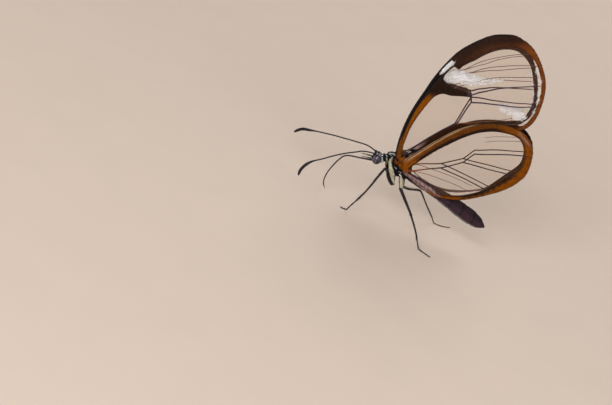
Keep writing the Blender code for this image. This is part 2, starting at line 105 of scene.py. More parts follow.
# Pale marks of the side of the body as outlines of (x, z), and the small ones as x, z and radius
COLLAR_MARK = ((-2.95, 0.35), (-2.7, 0.45), (-2.45, -0.1), (-2.3, -0.62), (-2.5, -0.7),
               (-2.75, -0.2))
NECK_STRIPE = ((-2.24, 1.1), (-2.21, 0.6), (-2.02, 0.06), (-1.79, -0.47), (-1.61, -0.42),
               (-1.81, 0.15), (-2.0, 0.7), (-2.05, 1.08))
FRONT_LEAF = ((-1.31, 1.55), (-1.47, 1.2), (-1.66, 0.6), (-1.6, 0.15), (-1.28, -0.4),
              (-0.92, -0.97), (-0.5, -1.5), (-0.06, -2.02), (0.32, -2.42), (0.6, -2.75),
              (0.74, -2.5), (0.53, -2.0), (0.31, -1.45), (0.0, -0.88), (-0.4, -0.4), (-0.75, -0.1),
              (-1.06, 0.3), (-1.22, 0.64), (-1.2, 1.05))
REAR_LEAF = ((0.85, -0.7), (1.06, -1.34), (1.32, -1.85), (1.59, -2.36), (2.0, -2.85), (2.25, -2.85),
             (2.12, -2.2), (1.93, -1.8), (1.68, -1.3), (1.13, -0.8))
SMALL_MARKS = ((-3.32, 0.66, 0.12), (-3.75, 0.5, 0.11), (-2.88, 0.62, 0.12), (-2.35, 0.95, 0.11),
               (-1.94, 1.4, 0.12), (-1.72, 1.62, 0.12), (-1.43, 1.66, 0.12),
               (0.61, -0.46, 0.1), (0.96, -0.9, 0.1), (-0.29, 0.0, 0.07))
FACE_MARK = (-3.65, -1.0, 0.42)

# Limbs as (x, y, z, radius); the feet lie on the floor
MID_LEFT = ((0.45, -1.25, -2.8, 0.24), (-0.33, -1.9, -2.0, 0.2), (-1.05, -2.5, -1.0, 0.17),
            (-1.68, -2.95, -0.02, 0.15), (-1.9, -3.08, -0.35, 0.12), (-2.9, -4.0, -4.0, 0.11),
            (-3.7, -4.2, -6.5, 0.12))
MID_LEFT_FOOT = ((-3.7, -4.2, -6.5), (-4.2, -4.28, -7.75), (-4.6, -4.3, FLOOR_Z),
                 (-5.3, -4.35, FLOOR_Z))
MID_RIGHT = ((0.5, 1.2, -2.8, 0.24), (-0.25, 1.95, -2.75, 0.19), (-1.0, 2.6, -2.62, 0.15),
             (-1.15, 2.72, -3.0, 0.135), (-1.6, 3.1, -5.6, 0.125))
MID_RIGHT_FOOT = ((-1.6, 3.1, -5.6), (-2.0, 3.2, -7.8), (-2.35, 3.0, FLOOR_Z),
                  (-2.65, 1.6, FLOOR_Z))
HIND_LEFT = ((1.95, -1.3, -2.8, 0.24), (3.3, -2.6, -3.75, 0.22), (4.65, -3.95, -4.68, 0.16),
             (4.9, -4.2, -4.88, 0.2), (5.2, -4.5, -5.15, 0.13), (6.6, -5.8, -6.5, 0.12),
             (7.35, -6.4, -7.5, 0.11))
HIND_LEFT_FOOT = ((7.35, -6.4, -7.5), (8.4, -6.9, FLOOR_Z), (10.0, -7.7, FLOOR_Z))
HIND_RIGHT = ((2.1, 1.2, -2.8, 0.24), (2.8, 1.5, -3.62, 0.2), (5.6, 2.93, -3.68, 0.16),
              (5.9, 3.06, -3.85, 0.12), (7.6, 3.7, -5.7, 0.1), (9.6, 4.45, -7.75, 0.09))
HIND_RIGHT_FOOT = ((9.6, 4.45, -7.75), (10.5, 4.6, FLOOR_Z), (11.6, 4.7, FLOOR_Z),
                   (12.95, 5.4, FLOOR_Z))
FORELEG = ((-0.75, 0.4, -0.9, 0.27), (-0.75, 0.42, -1.6, 0.2), (-0.55, 0.46, -2.1, 0.15),
           (-0.2, 0.46, -2.6, 0.07))
# Where the beads of a foot meet, and the swell of a bead, at shares of its length
FOOT_JOINTS = (0.0, 0.42, 0.6, 0.75, 0.87, 1.0)
BEAD_SWELLS = ((0.03, 0.78), (0.3, 0.95), (0.75, 1.08), (0.97, 0.98))

# Feelers and mouth parts
ANTENNA_LEFT = ((-3.75, -0.3, 0.42), (-5.7, -0.9, 0.25), (-7.1, -1.6, -0.25), (-8.5, -2.4, -0.8),
                (-10.0, -3.2, -1.6), (-11.4, -4.2, -2.35), (-12.8, -4.9, -3.2),
                (-13.55, -5.3, -4.1), (-13.9, -5.6, -5.1), (-13.85, -5.8, -5.95))
ANTENNA_RIGHT = ((-3.75, 0.3, 0.5), (-5.4, 0.9, 0.6), (-7.2, 1.6, 0.1), (-9.0, 2.4, -0.55),
                 (-10.7, 3.2, -1.2), (-13.0, 4.3, -2.2), (-14.35, 4.9, -2.85),
                 (-15.25, 5.3, -3.3), (-15.9, 5.6, -4.0), (-16.27, 5.78, -4.65))
PALP = ((-3.75, 0.36, -0.55, 0.13), (-4.3, 0.45, -0.56, 0.12), (-4.95, 0.52, -0.7, 0.09),
        (-5.35, 0.55, -0.78, 0.07), (-5.65, 0.58, -0.86, 0.03))
PROBOSCIS = ((-3.6, 0.0, -0.88, 0.16), (-5.0, -0.05, -1.25, 0.13), (-6.3, -0.1, -1.55, 0.12),
             (-7.4, -0.2, -1.78, 0.12), (-8.15, -0.28, -2.2, 0.12), (-8.6, -0.36, -3.0, 0.12),
             (-9.05, -0.5, -4.3, 0.115), (-9.4, -0.8, -6.2, 0.11), (-9.2, -1.0, -7.55, 0.1),
             (-8.7, -1.1, -8.2, 0.05))

# Wings in the flat plane of the closed wing as (x, z)
FORE_OUTLINE = ((-0.4, 1.2), (-1.15, 2.0), (-1.75, 4.5), (-2.06, 7.8), (-1.95, 11.2), (-1.33, 16.0),
                (-0.57, 19.7), (0.5, 22.5), (3.1, 25.95), (5.0, 27.3), (7.1, 27.95), (10.1, 27.25),
                (12.7, 25.2), (14.6, 22.6), (15.55, 19.5), (15.7, 16.2), (14.4, 14.0), (11.4, 13.1),
                (8.0, 11.1), (5.5, 8.7), (4.2, 6.9), (3.1, 4.9), (2.2, 3.9), (1.2, 3.5), (0.4, 3.1),
                (0.0, 1.9))
FORE_CLEAR = ((-0.25, 2.2), (-0.6, 3.4), (-0.78, 5.0), (-0.91, 6.4), (-0.93, 7.8), (-0.75, 9.6),
              (-0.5, 10.9), (-0.28, 11.8), (-0.12, 12.6), (0.15, 13.4), (0.7, 14.15), (1.4, 14.5),
              (2.2, 14.6), (2.9, 14.85), (3.65, 15.2), (4.4, 15.5), (4.9, 15.7), (5.15, 15.85),
              (5.05, 16.02), (4.6, 16.12), (4.1, 16.12), (3.2, 15.95), (2.3, 15.82), (1.4, 15.92),
              (0.6, 16.15), (0.1, 16.5), (-0.12, 16.85), (0.1, 17.7), (0.35, 18.6),
              (0.85, 19.4), (1.5, 19.17), (2.0, 20.4), (2.75, 21.8), (3.9, 23.45), (5.3, 24.85),
              (7.0, 25.95), (8.7, 26.42), (10.4, 26.0), (11.9, 25.1), (13.2, 23.65), (14.2, 22.0),
              (14.8, 19.9), (15.05, 18.0), (14.95, 16.1), (14.2, 14.75), (11.3, 13.4),
              (8.0, 11.75), (5.6, 10.85), (4.91, 10.4), (3.86, 9.05), (2.89, 7.5), (1.95, 5.95),
              (1.04, 4.25), (0.3, 2.95), (-0.05, 2.3))
FORE_WINDOW = ((-0.85, 17.0), (-0.6, 18.5), (-0.1, 20.0), (0.3, 20.0), (0.62, 19.6),
               (0.17, 18.68), (-0.12, 17.8), (-0.42, 16.85))
FORE_VEINS = (
    ("costa", ((-0.75, 1.7), (-1.05, 2.4), (-1.63, 4.6), (-1.93, 7.8), (-1.82, 11.2), (-1.2, 16.0),
               (-0.45, 19.65), (0.62, 22.4), (3.2, 25.8), (5.1, 27.15)), 0.11, 0.07),
    ("radius", ((-0.6, 2.2), (-1.2, 4.4), (-1.5, 7.0), (-1.52, 10.0), (-1.15, 13.2), (-0.7, 15.2),
                (-0.28, 16.76), (0.0, 17.77), (0.27, 18.65), (0.71, 19.54), (1.15, 19.9)),
     0.1, 0.085),
    ("discal", ((4.6, 15.8), (5.1, 15.85), (5.4, 15.5), (5.6, 15.0)), 0.12, 0.13),
    ("media_2", ((4.5, 15.95), (5.18, 16.25), (5.95, 17.01), (6.96, 17.8), (8.21, 18.8),
                 (9.53, 19.68), (10.87, 20.49), (12.65, 21.47), (14.03, 22.21)), 0.13, 0.08),
    ("media_3", ((5.6, 15.03), (7.12, 15.68), (8.64, 16.15), (10.12, 16.7), (11.62, 17.21),
                 (13.07, 17.82), (14.18, 18.42), (15.4, 19.1)), 0.125, 0.08),
    ("cubitus", ((0.1, 2.4), (1.04, 4.34), (1.95, 6.02), (2.89, 7.62), (3.86, 9.13), (4.91, 10.5),
                 (5.22, 10.9), (5.32, 11.82), (5.43, 13.41), (5.6, 15.05)), 0.1, 0.12),
    ("cubitus_branch", ((5.22, 10.9), (8.0, 12.1), (11.5, 13.7), (14.9, 15.6)), 0.05, 0.04),
    ("media_1", ((2.2, 16.0), (3.2, 17.0), (4.39, 18.05), (6.06, 19.63), (7.37, 20.51),
                 (8.75, 21.25), (10.15, 21.94), (11.97, 22.84), (13.6, 23.5)), 0.06, 0.055),
    ("radius_5", ((1.5, 18.0), (2.2, 18.6), (3.61, 19.65), (4.65, 20.73), (5.9, 21.73),
                  (7.22, 22.57), (8.59, 23.34), (11.1, 24.58), (12.3, 25.05)), 0.06, 0.055),
    ("radius_4", ((1.7, 19.0), (2.51, 19.77), (3.54, 21.22), (4.68, 22.44), (5.89, 23.51),
                  (7.15, 24.47), (8.47, 25.31), (9.7, 25.99), (10.6, 26.4)), 0.055, 0.05),
)
HIND_OUTLINE = ((0.25, 1.4), (0.9, 2.9), (2.3, 5.4), (3.7, 7.75), (5.2, 9.95), (6.9, 11.75),
                (8.8, 13.05), (10.9, 14.0), (13.0, 14.45), (14.9, 14.4), (16.8, 13.3),
                (17.9, 11.5), (18.45, 8.4), (17.8, 6.2), (16.4, 4.1), (14.2, 1.95), (11.7, 0.0),
                (10.0, -0.85), (8.1, -1.4), (6.1, -1.45), (4.1, -1.0), (2.3, -0.4), (1.2, -0.1))
HIND_CLEAR = ((1.65, 1.0), (1.96, 1.71), (2.55, 2.85), (3.33, 4.2), (4.2, 5.7), (5.11, 7.05),
              (5.95, 8.25), (6.89, 9.42), (7.9, 10.55), (8.96, 11.5), (10.6, 12.5), (12.3, 13.08),
              (14.0, 13.3), (15.3, 12.9),
              (16.5, 11.45), (17.1, 9.5), (16.9, 8.2), (15.9, 6.2), (14.4, 3.8), (13.1, 2.2),
              (11.3, 0.7), (10.0, -0.05), (8.8, -0.5), (7.9, -0.8), (7.1, -0.6), (6.4, -0.22),
              (5.2, 0.0), (3.9, 0.16), (2.9, 0.22), (2.2, 0.27), (1.8, 0.38), (1.66, 0.65))
# The far hind wing shows only a narrow line of scales along its lower edge
HIND_FAR_CLEAR = (*HIND_CLEAR[:18], (13.9, 2.35), (11.7, 0.35), (10.0, -0.45), (8.1, -1.0),
                  (6.1, -1.15), (4.1, -0.85), (2.3, -0.26), (1.5, -0.02), (1.55, 0.4))
HIND_VEINS = (
    ("costa", ((0.7, 2.1), (1.0, 2.8), (1.95, 4.5), (2.9, 6.1), (3.83, 7.7), (4.8, 9.13),
               (5.82, 10.43), (6.96, 11.58), (8.2, 12.48), (9.53, 13.22), (10.9, 13.83),
               (12.4, 14.2), (13.67, 14.33)), 0.1, 0.06),
    ("radius", ((1.2, 1.4), (1.75, 2.6), (2.7, 4.3), (3.65, 5.9), (4.66, 7.35), (5.66, 8.8),
                (6.8, 10.03), (7.97, 11.2), (9.27, 12.07), (10.65, 12.76), (12.1, 13.29)),
     0.09, 0.05),
    ("stem", ((1.6, 0.55), (2.3, 0.85), (4.0, 2.0), (5.2, 2.75), (6.09, 3.33), (6.3, 3.5),
              (8.6, 5.55), (8.85, 5.85), (9.62, 7.5), (9.85, 7.82), (10.54, 8.12), (13.3, 9.5),
              (16.7, 10.9), (17.6, 11.2)), 0.11, 0.09),
    ("media_3", ((8.8, 5.7), (12.4, 6.35), (15.9, 7.0), (17.6, 7.4)), 0.1, 0.08),
    ("cubitus", ((6.1, 3.3), (9.6, 3.3), (13.1, 3.1), (14.9, 3.0)), 0.1, 0.085),
    ("media_1", ((10.3, 10.35), (11.6, 11.2), (12.8, 11.8), (15.2, 12.9), (16.0, 13.2)),
     0.03, 0.045),
    ("anal", ((2.3, 0.7), (3.2, 1.1), (6.1, 1.5), (9.1, 1.7), (12.2, 1.6)), 0.05, 0.04),
)
FORE_SIDE = ((1.3, 1.55), (1.8, 1.37), (2.2, 1.16), (2.6, 0.92), (3.2, 0.66), (4.2, 0.56))
HIND_SIDE = ((1.3, 1.62), (4.2, 1.62))
SPLAY = 0.008
# The far wings sit a little differently: how far along X, and the height for each height
RIGHT_FORE_ALONG = (0.154, 0.9495)
RIGHT_FORE_HEIGHTS = ((0.0, -0.03), (1.2, 1.17), (6.0, 5.2), (9.0, 8.1), (10.8, 10.1),
                      (14.8, 15.1), (18.4, 18.1), (20.9, 19.7), (22.8, 21.2), (25.3, 24.1),
                      (28.0, 27.0))
RIGHT_HIND_ALONG = (0.3, 1.0)
RIGHT_HIND_HEIGHTS = ((-1.6, -1.75), (0.0, -0.05), (1.5, 1.2), (3.35, 2.65), (5.7, 4.95),
                      (8.0, 7.3), (14.5, 13.8))

# White scales in the clear wing: x, z, half length, half width, turn in degrees, share covered
FORE_PALE = ((1.6, 17.6, 1.9, 1.0, 40.0, 0.74), (3.6, 18.1, 2.2, 1.0, 12.0, 0.62),
             (5.6, 18.8, 2.2, 0.6, 26.0, 0.34), (7.6, 20.0, 2.0, 0.35, 32.0, 0.14),
             (11.7, 16.1, 2.2, 0.6, 12.0, 0.4), (13.2, 16.1, 1.1, 0.8, 20.0, 0.6),
             (12.2, 24.0, 0.6, 0.3, 130.0, 0.35), (13.3, 22.9, 0.6, 0.3, 125.0, 0.4),
             (14.2, 20.9, 0.7, 0.3, 110.0, 0.5), (14.7, 19.6, 0.6, 0.3, 100.0, 0.5),
             (14.9, 17.6, 0.8, 0.25, 95.0, 0.35), (-0.3, 18.5, 1.9, 0.5, 70.0, 1.0))

# Strip of the fore wing along the hind wing: heights of its upper and lower line at each X
STRIP_TOP = ((0.17, 2.62), (0.94, 4.1), (2.21, 6.33), (3.93, 9.22), (5.89, 11.22), (8.13, 13.0),
             (10.1, 14.2), (11.5, 14.9))
STRIP_FOOT = ((1.04, 2.35), (2.44, 4.86), (3.84, 7.2), (5.3, 9.4), (7.0, 11.2))

# Camera, from the fit of feet, feelers and wings to the photograph
PIXEL = 0.157
FOCAL_PIXELS = 2550.0
CAMERA_TURN = 7.0
CAMERA_DIP = 25.0
CAMERA_ROLL = 27.0
IMAGE_SIZE = (612, 405)
TARGET_PIXEL = (397.0, 165.0)

# Lamps as name, place and size in metres and power in watts, all aimed at one point
LAMPS = (("key", (-0.2, -0.42, 0.26), 0.35, 2.55), ("fill", (0.3, -0.36, 0.2), 0.4, 0.9),
         ("rim", (0.12, 0.35, 0.32), 0.3, 0.85))
LAMP_AIM = (0.0, 0.0, 0.015)
ROOM_COLOUR = (1.0, 0.965, 0.92, 1.0)
ROOM_STRENGTH = 0.3

# Seeds of what is drawn at random
BODY_SEED = 11
PALP_SEED = 31
LEG_SEED = 50
FORELEG_SEED = 60
SCALE_SEED = 100
WHITE_SEED = 200

# Body: how far apart its hairs stand, how far the pale plates rise and the skin lies under the coat
HAIR_SPACING = 0.105
PLATE_RISE = 0.09
SKIN_SINK = 0.03
# Wings: step of the sheets' mesh, and how far apart scales stand as shares of length and width
NET_STEP = 0.42
ROW_SHARE = 0.62
SCALE_SHARE = 0.82
# How dark the bands are under their scales, and white scales on a square millimetre
BAND_SHADE = 0.8
WHITE_DENSITY = 110


def colour_of(red, green, blue):
    """A screen colour in 0 to 255 as the shader's own colour."""
    return tuple(((c / 255 + 0.055) / 1.055) ** 2.4 if c > 10 else c / 255 / 12.92
                 for c in (red, green, blue))


# A dark and a light tone of what varies between two
EYE_TONES = (colour_of(9, 6, 10), colour_of(98, 84, 102))
TONGUE_TONES = (colour_of(24, 16, 24), colour_of(66, 50, 62))
FEELER_TONES = (colour_of(9, 7, 11), colour_of(38, 31, 42))
LEG_TONES = (colour_of(12, 9, 12), colour_of(46, 37, 45))
# The far hind leg's lighter tones are painted light: a lit copy of the black leg horn
LIT_LEG_TONES = (colour_of(38, 27, 22), colour_of(88, 70, 58))


class GlasswingSizes(bpy.types.PropertyGroup):
    membrane: FloatProperty(name="Membrane", description="Thickness of the clear wing, mm",
                            default=0.05, min=0.01, max=0.2)
    band: FloatProperty(name="Band", description="Thickness of the scaled bands of the wing, mm",
                        default=0.1, min=0.02, max=0.3)
    scale_length: FloatProperty(name="Scale length", description="Length of a wing scale, mm",
                                default=0.27, min=0.1, max=0.6)
    scale_width: FloatProperty(name="Scale width", description="Width of a wing scale, mm",
                               default=0.12, min=0.05, max=0.3)
    hair_length: FloatProperty(name="Hair length", description="Length of a hair of the body, mm",
                               default=0.42, min=0.1, max=1.0)
    hair_width: FloatProperty(name="Hair width", description="Width of a hair of the body, mm",
                              default=0.06, min=0.02, max=0.2)
    skin_grain: FloatProperty(name="Skin grain", description="Size of the skin's mesh, mm",
                              default=0.075, min=0.04, max=0.2)
    feeler: FloatProperty(name="Feeler", description="Radius of a feeler's shaft, mm",
                          default=0.105, min=0.05, max=0.2)
    club: FloatProperty(name="Club", description="Radius of a feeler's club, mm",
                        default=0.24, min=0.1, max=0.4)


class GlasswingColours(bpy.types.PropertyGroup):
    black: FloatVectorProperty(name="Black", description="Black scales", subtype="COLOR",
                               default=colour_of(13, 9, 12))
    brown: FloatVectorProperty(name="Brown", description="Dark brown scales", subtype="COLOR",
                               default=colour_of(42, 26, 18))
    orange: FloatVectorProperty(name="Orange", description="Orange-brown scales", subtype="COLOR",
                                default=colour_of(128, 68, 2))
    rust: FloatVectorProperty(name="Rust", description="Redder scales of the margin",
                              subtype="COLOR", default=colour_of(120, 62, 20))
    violet: FloatVectorProperty(name="Violet", description="Dark scales of the inner faces",
                                subtype="COLOR", default=colour_of(44, 28, 42))
    white: FloatVectorProperty(name="White", description="White scales", subtype="COLOR",
                               default=colour_of(250, 247, 247))
    cream: FloatVectorProperty(name="Cream", description="Pale plates of the side",
                               subtype="COLOR", default=colour_of(204, 196, 168))
    abdomen: FloatVectorProperty(name="Abdomen", description="Abdomen scales", subtype="COLOR",
                                 default=colour_of(64, 44, 52))
    # Tan paints a highlight along the front rim of the hind wing near its root
    tan: FloatVectorProperty(name="Tan", description="Pale rim of the hind wing", subtype="COLOR",
                             default=colour_of(178, 142, 104))
    mauve: FloatVectorProperty(name="Mauve", description="Grey-pink scales by the wing roots",
                               subtype="COLOR", default=colour_of(172, 140, 134))
    membrane: FloatVectorProperty(name="Membrane", description="Clear wing", subtype="COLOR",
                                  default=colour_of(150, 106, 66))
    floor: FloatVectorProperty(name="Floor", description="Floor under the model",
                               subtype="COLOR", default=colour_of(208, 190, 175))


def sizes():
    return bpy.context.scene.glasswing_sizes


def colours():
    return bpy.context.scene.glasswing_colours


def tone(name):
    return np.array(getattr(colours(), name)[:3])


# Plane geometry of the wings, on arrays of points

def smooth_line(points, step, closed=False):
    """Points about a step apart on a smooth curve through the given ones."""
    knots = np.asarray(points, float)
    if closed:
        padded = np.vstack([knots[-1:], knots, knots[:2]])
    else:
        padded = np.vstack([2 * knots[:1] - knots[1:2], knots, 2 * knots[-1:] - knots[-2:-1]])
    rows = []
    for before, start, end, after in zip(padded, padded[1:], padded[2:], padded[3:]):
        count = max(1, round(np.linalg.norm(end - start) / step))
        share = (np.arange(count) / count)[:, None]
        rows.append(0.5 * (2 * start + (end - before) * share
                           + (2 * before - 5 * start + 4 * end - after) * share ** 2
                           + (3 * start - before - 3 * end + after) * share ** 3))
    if not closed:
        rows.append(knots[-1:])
    return np.vstack(rows)


def in_blocks(points, work, size=6000):
    return np.concatenate([work(points[first:first + size])
                           for first in range(0, len(points), size)])


def inside(points, loop):
    start, end = loop, np.roll(loop, -1, axis=0)

    def work(block):
        x, z = block[:, :1], block[:, 1:2]
        rise = np.where(end[:, 1] == start[:, 1], 1e-9, end[:, 1] - start[:, 1])
        across = start[:, 0] + (z - start[:, 1]) / rise * (end[:, 0] - start[:, 0])
        hit = ((start[:, 1] > z) != (end[:, 1] > z)) & (x < across)
        return hit.sum(axis=1) % 2 == 1

    return in_blocks(points, work)


def distance(points, line, closed=False):
    start = line if closed else line[:-1]
    end = np.roll(line, -1, axis=0) if closed else line[1:]
    span = end - start
    length = np.maximum((span ** 2).sum(axis=1), 1e-12)

    def work(block):
        arm = block[:, None, :] - start[None]
        share = np.clip((arm * span).sum(axis=2) / length, 0.0, 1.0)
        return np.linalg.norm(arm - share[..., None] * span, axis=2).min(axis=1)

    return in_blocks(points, work)


def ramp(value, start, end):
    """0 before start, 1 after end and smooth between; end may lie below start."""
    share = np.clip((np.asarray(value, float) - start) / (end - start), 0.0, 1.0)
    return share * share * (3 - 2 * share)


def paint_over(colour, tint, weight):
    return colour + (tint - colour) * np.asarray(weight)[:, None]


def all_over(name, points, factor=1.0):
    return np.tile(tone(name) * factor, (len(points), 1))


def painted(colour, *layers):
    """Layers over a colour in order: a tone's name, how much brighter it is and its weights."""
    for name, factor, weight in layers:
        colour = paint_over(colour, tone(name) * factor, weight)
    return colour


class WingForm:
    """A kind of wing: its outline, clear windows, veins and colours in its flat plane."""

    def __init__(self, outline, windows, veins, side, root):
        self.loop = smooth_line(outline, 0.4, closed=True)
        self.windows = [smooth_line(window, 0.3, closed=True) for window in windows]
        self.veins = [(name, smooth_line(line, 0.35), start, end)
                      for name, line, start, end in veins]
        self.side = np.array(side)
        self.root = np.array(root)

    def depth(self, z):
        """Distance of the wing's middle surface from the animal's middle plane."""
        flat = np.interp(z, self.side[:, 0], self.side[:, 1])
        return flat + SPLAY * np.maximum(0.0, z - FORE_SIDE[-1][0])

    def relief(self, flat):
        """Slight waves of the membrane between its veins."""
        x, z = flat[:, 0], flat[:, 1]
        grown = ramp(np.hypot(x - self.root[0], z - self.root[1]), 2.0, 6.0)
        return grown * 0.07 * np.sin(0.9 * x + 0.35 * z) * np.cos(0.3 * z - 0.2 * x)

    def in_windows(self, flat):
        found = np.zeros(len(flat), bool)
        for window in self.windows:
            found |= inside(flat, window)
        return found

    def from_windows(self, flat):
        return np.min([distance(flat, window, closed=True) for window in self.windows], axis=0)

    def from_edge(self, flat):
        return distance(flat, self.loop, closed=True)


def strip_weights(x, z):
    """Where the fore wing's strip along the hind wing lies, and its paler middle near the root."""
    top = np.interp(x, *zip(*STRIP_TOP))
    foot = np.interp(x, *zip(*STRIP_FOOT))
    strip = ramp(z - top, 0.15, 0.0) * ramp(x, 0.1, 0.4) * ramp(x, 14.4, 13.4)
    middle = ramp(z - foot, 0.55, 0.85) * ramp(top - z, 0.12, 0.35) * ramp(x, 2.6, 1.0)
    return strip, strip * middle


def fore_tint(flat, outer):
    """Colours of the fore wing's scales: outer is the face seen on the closed wing."""
    x, z = flat.T
    edge = FORE.from_edge(flat)
    clear = FORE.from_windows(flat)
    behind, root_strip = strip_weights(x, z)
    if not outer:
        return painted(all_over("violet", flat, 0.9),
                       ("black", 1.0, ramp(edge, 0.5, 0.2) * 0.8),
                       ("black", 1.0, behind),
                       ("brown", 1.0, ramp(z, 6.0, 2.5) * 0.7))
    streak = 0.5 + 0.5 * np.sin(x * 7.0 + z * 2.3)
    front_band = ramp(clear, 0.95, 0.75) * ramp(z, 14.0, 12.2)
    tip_band = ramp(clear, 1.1, 0.3) * ramp(z, 19.5, 22.0)
    margin = ramp(x + 0.25 * (z - 24.0), 8.5, 11.5) * ramp(z, 13.2, 14.2)
    root = ramp(z, 4.2, 3.0) * ramp(edge, 0.2, 0.3) * ramp(x, 0.9, 0.3)
    reach = np.interp(z, (3.0, 4.7, 6.0, 18.0, 20.5), (0.27, 0.42, 0.58, 0.58, 0.3))
    front_edge = ramp(edge, reach + 0.07, reach - 0.07) * ramp(x + 0.12 * z, 11.0, 7.0)
    rear_edge = ramp(edge, 0.2, 0.1) * 0.75 * ramp(x, 7.0, 11.0)
    return painted(all_over("brown", flat),
                   ("black", 1.0, 0.3 * streak * ramp(z, 20.5, 18.5)),
                   ("brown", 1.5, ramp(z, 18.5, 20.5) * 0.7),
                   ("orange", 1.12, front_band),
                   ("rust", 1.0, tip_band * (0.2 + 0.7 * ramp(x, 6.5, 10.5))),
                   ("rust", 1.0, margin),
                   ("brown", 0.6, behind * 0.9),
                   ("mauve", 1.0, root_strip),
                   ("orange", 1.0, root),
                   ("brown", 1.0, ramp(clear, 0.14, 0.05) * 0.6),
                   ("black", 1.0, front_edge),
                   ("black", 1.0, rear_edge))


def hind_tint(flat, outer):
    """Hind wing scale colours and painted highlights: outer is the face seen on the closed wing."""
    x, z = flat.T
    edge = HIND.from_edge(flat)
    clear = HIND.from_windows(flat)
    if not outer:
        return painted(all_over("black", flat), ("mauve", 0.5, ramp(z, 3.4, 2.0) * 0.8))
    streak = 0.5 + 0.5 * np.sin(x * 2.1 - z * 5.0)
    front = ramp(x + 0.2 * z, 15.5, 13.0) * ramp(z, 1.2, 2.6)
    # A tan line along the front rim of the hind wing near its root is a painted highlight
    rim = np.interp(x, (1.0, 2.3, 5.6, 8.0), (0.6, 0.46, 0.38, 0.1))
    highlight_rim = ramp(edge, rim + 0.06, rim - 0.06) * front * ramp(x, 8.5, 7.0)
    dark_line = ramp(clear, 0.55, 0.4) * front * ramp(x, 1.8, 2.6)
    root = ramp(np.hypot(x - 1.2, z - 1.0), 2.6, 1.4) * ramp(z, -0.2, 0.2) * ramp(edge, 0.3, 0.6)
    scallop = 0.75 + 0.3 * np.sin(2.0 * x - 1.6 * z) + 0.1 * np.sin(5.0 * x + 4.0 * z)
    low_edge = ramp(clear, scallop + 0.15, scallop - 0.15) * ramp(x, 10.4, 11.6) * ramp(z, 8.5, 6.0)
    fringe = ramp(x, 8.6, 6.4) * ramp(z - 0.05 * x, 0.2, 0.0)
    across = edge / np.maximum(edge + clear, 1e-6) + 0.05 * np.sin(x * 5.0) * np.sin(x * 2.3 + 1.0)
    level = np.interp(across, (0.0, 0.08, 0.22, 0.36, 0.46, 0.7, 0.82, 1.0),
                      (0.15, 0.85, 0.7, 0.15, 1.0, 0.9, 0.1, 0.0))
    level = level * (0.75 + 0.25 * np.sin(x * 9.0 + z * 4.0))
    low_band = ramp(x, 5.2, 6.8) * ramp(across, 0.42, 0.3) * fringe
    # A pale streak near the tip of the hind wing's band is a painted highlight
    highlight_gap = np.abs(z - 13.55 + 0.5 * (x - 15.2))
    painted_highlight = ramp(highlight_gap, 0.2, 0.06) * ramp(x, 13.6, 14.6) * ramp(x, 17.0, 16.2)
    return painted(all_over("orange", flat),
                   ("brown", 1.0, 0.2 * streak),
                   ("brown", 1.0, 0.4 * front * ramp(x, 2.0, 4.0)),
                   ("tan", 1.0, highlight_rim),
                   ("brown", 1.0, ramp(edge, 0.14, 0.04) * front * 0.6),
                   ("brown", 0.7, dark_line),
                   ("brown", 1.0, ramp(edge, 0.2, 0.08) * 0.75 * (1 - front)),
                   ("orange", 1.25, root * 0.8),
                   ("brown", 0.8, ramp(clear, 0.26, 0.12) * 0.9),
                   ("brown", 1.0, low_edge * 0.95),
                   ("violet", 1.0, fringe),
                   ("mauve", 1.1, fringe * level),
                   ("orange", 1.0, low_band),
                   ("white", 0.35, painted_highlight * 0.4))


FORE = WingForm(FORE_OUTLINE, (FORE_CLEAR, FORE_WINDOW), FORE_VEINS, FORE_SIDE, (-0.2, 1.6))
HIND = WingForm(HIND_OUTLINE, (HIND_CLEAR,), HIND_VEINS, HIND_SIDE, (0.9, 0.6))
HIND_FAR = WingForm(HIND_OUTLINE, (HIND_FAR_CLEAR,), HIND_VEINS, HIND_SIDE, (0.9, 0.6))


def left_place(flat):
    return flat


def right_place(flat, along, heights):
    low, high = zip(*heights)
    return np.stack([along[0] + along[1] * flat[:, 0], np.interp(flat[:, 1], low, high)], axis=1)


def right_fore_place(flat):
    return right_place(flat, RIGHT_FORE_ALONG, RIGHT_FORE_HEIGHTS)


def right_hind_place(flat):
    return right_place(flat, RIGHT_HIND_ALONG, RIGHT_HIND_HEIGHTS)


# Each wing: its CAD node, form, side, place and colours
WINGS = (("forewing_left", FORE, -1, left_place, fore_tint),
         ("forewing_right", FORE, 1, right_fore_place, fore_tint),
         ("hindwing_left", HIND, -1, left_place, hind_tint),
         ("hindwing_right", HIND_FAR, 1, right_hind_place, hind_tint))


def raise_points(form, sign, place, flat, lift=0.0):
    """Points of the flat plane set on the wing, lifted outwards by so much."""
    placed = place(flat)
    y = sign * (form.depth(placed[:, 1]) + form.relief(flat) + lift)
    return np.stack([placed[:, 0], y, placed[:, 1]], axis=1)


# Working with objects as by hand

def only(obj):
    bpy.ops.object.select_all(action="DESELECT")
    obj.select_set(True)
    bpy.context.view_layer.objects.active = obj


def apply_modifiers(obj):
    only(obj)
    for modifier in list(obj.modifiers):
        bpy.ops.object.modifier_apply(modifier=modifier.name)


def join(objects, name):
    bpy.ops.object.select_all(action="DESELECT")
    for obj in objects:
        obj.select_set(True)
    bpy.context.view_layer.objects.active = objects[0]
    if len(objects) > 1:
        bpy.ops.object.join()
    objects[0].name = name
    return objects[0]


def smooth_shade(obj, angle=60.0):
    only(obj)
    bpy.ops.object.shade_smooth_by_angle(angle=math.radians(angle))


def finish_piece(obj, material, nodes=()):
    """Scale to metres, set in the frame's place, ride on the body and take the finish."""
    obj.scale = (MM, MM, MM)
    obj.location = ORIGIN
    only(obj)
    bpy.ops.object.transform_apply(location=True, rotation=True, scale=True)
    obj.data.materials.clear()
    obj.data.materials.append(material)
    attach(obj, "root")
    if nodes:
        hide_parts(*nodes)
    return obj


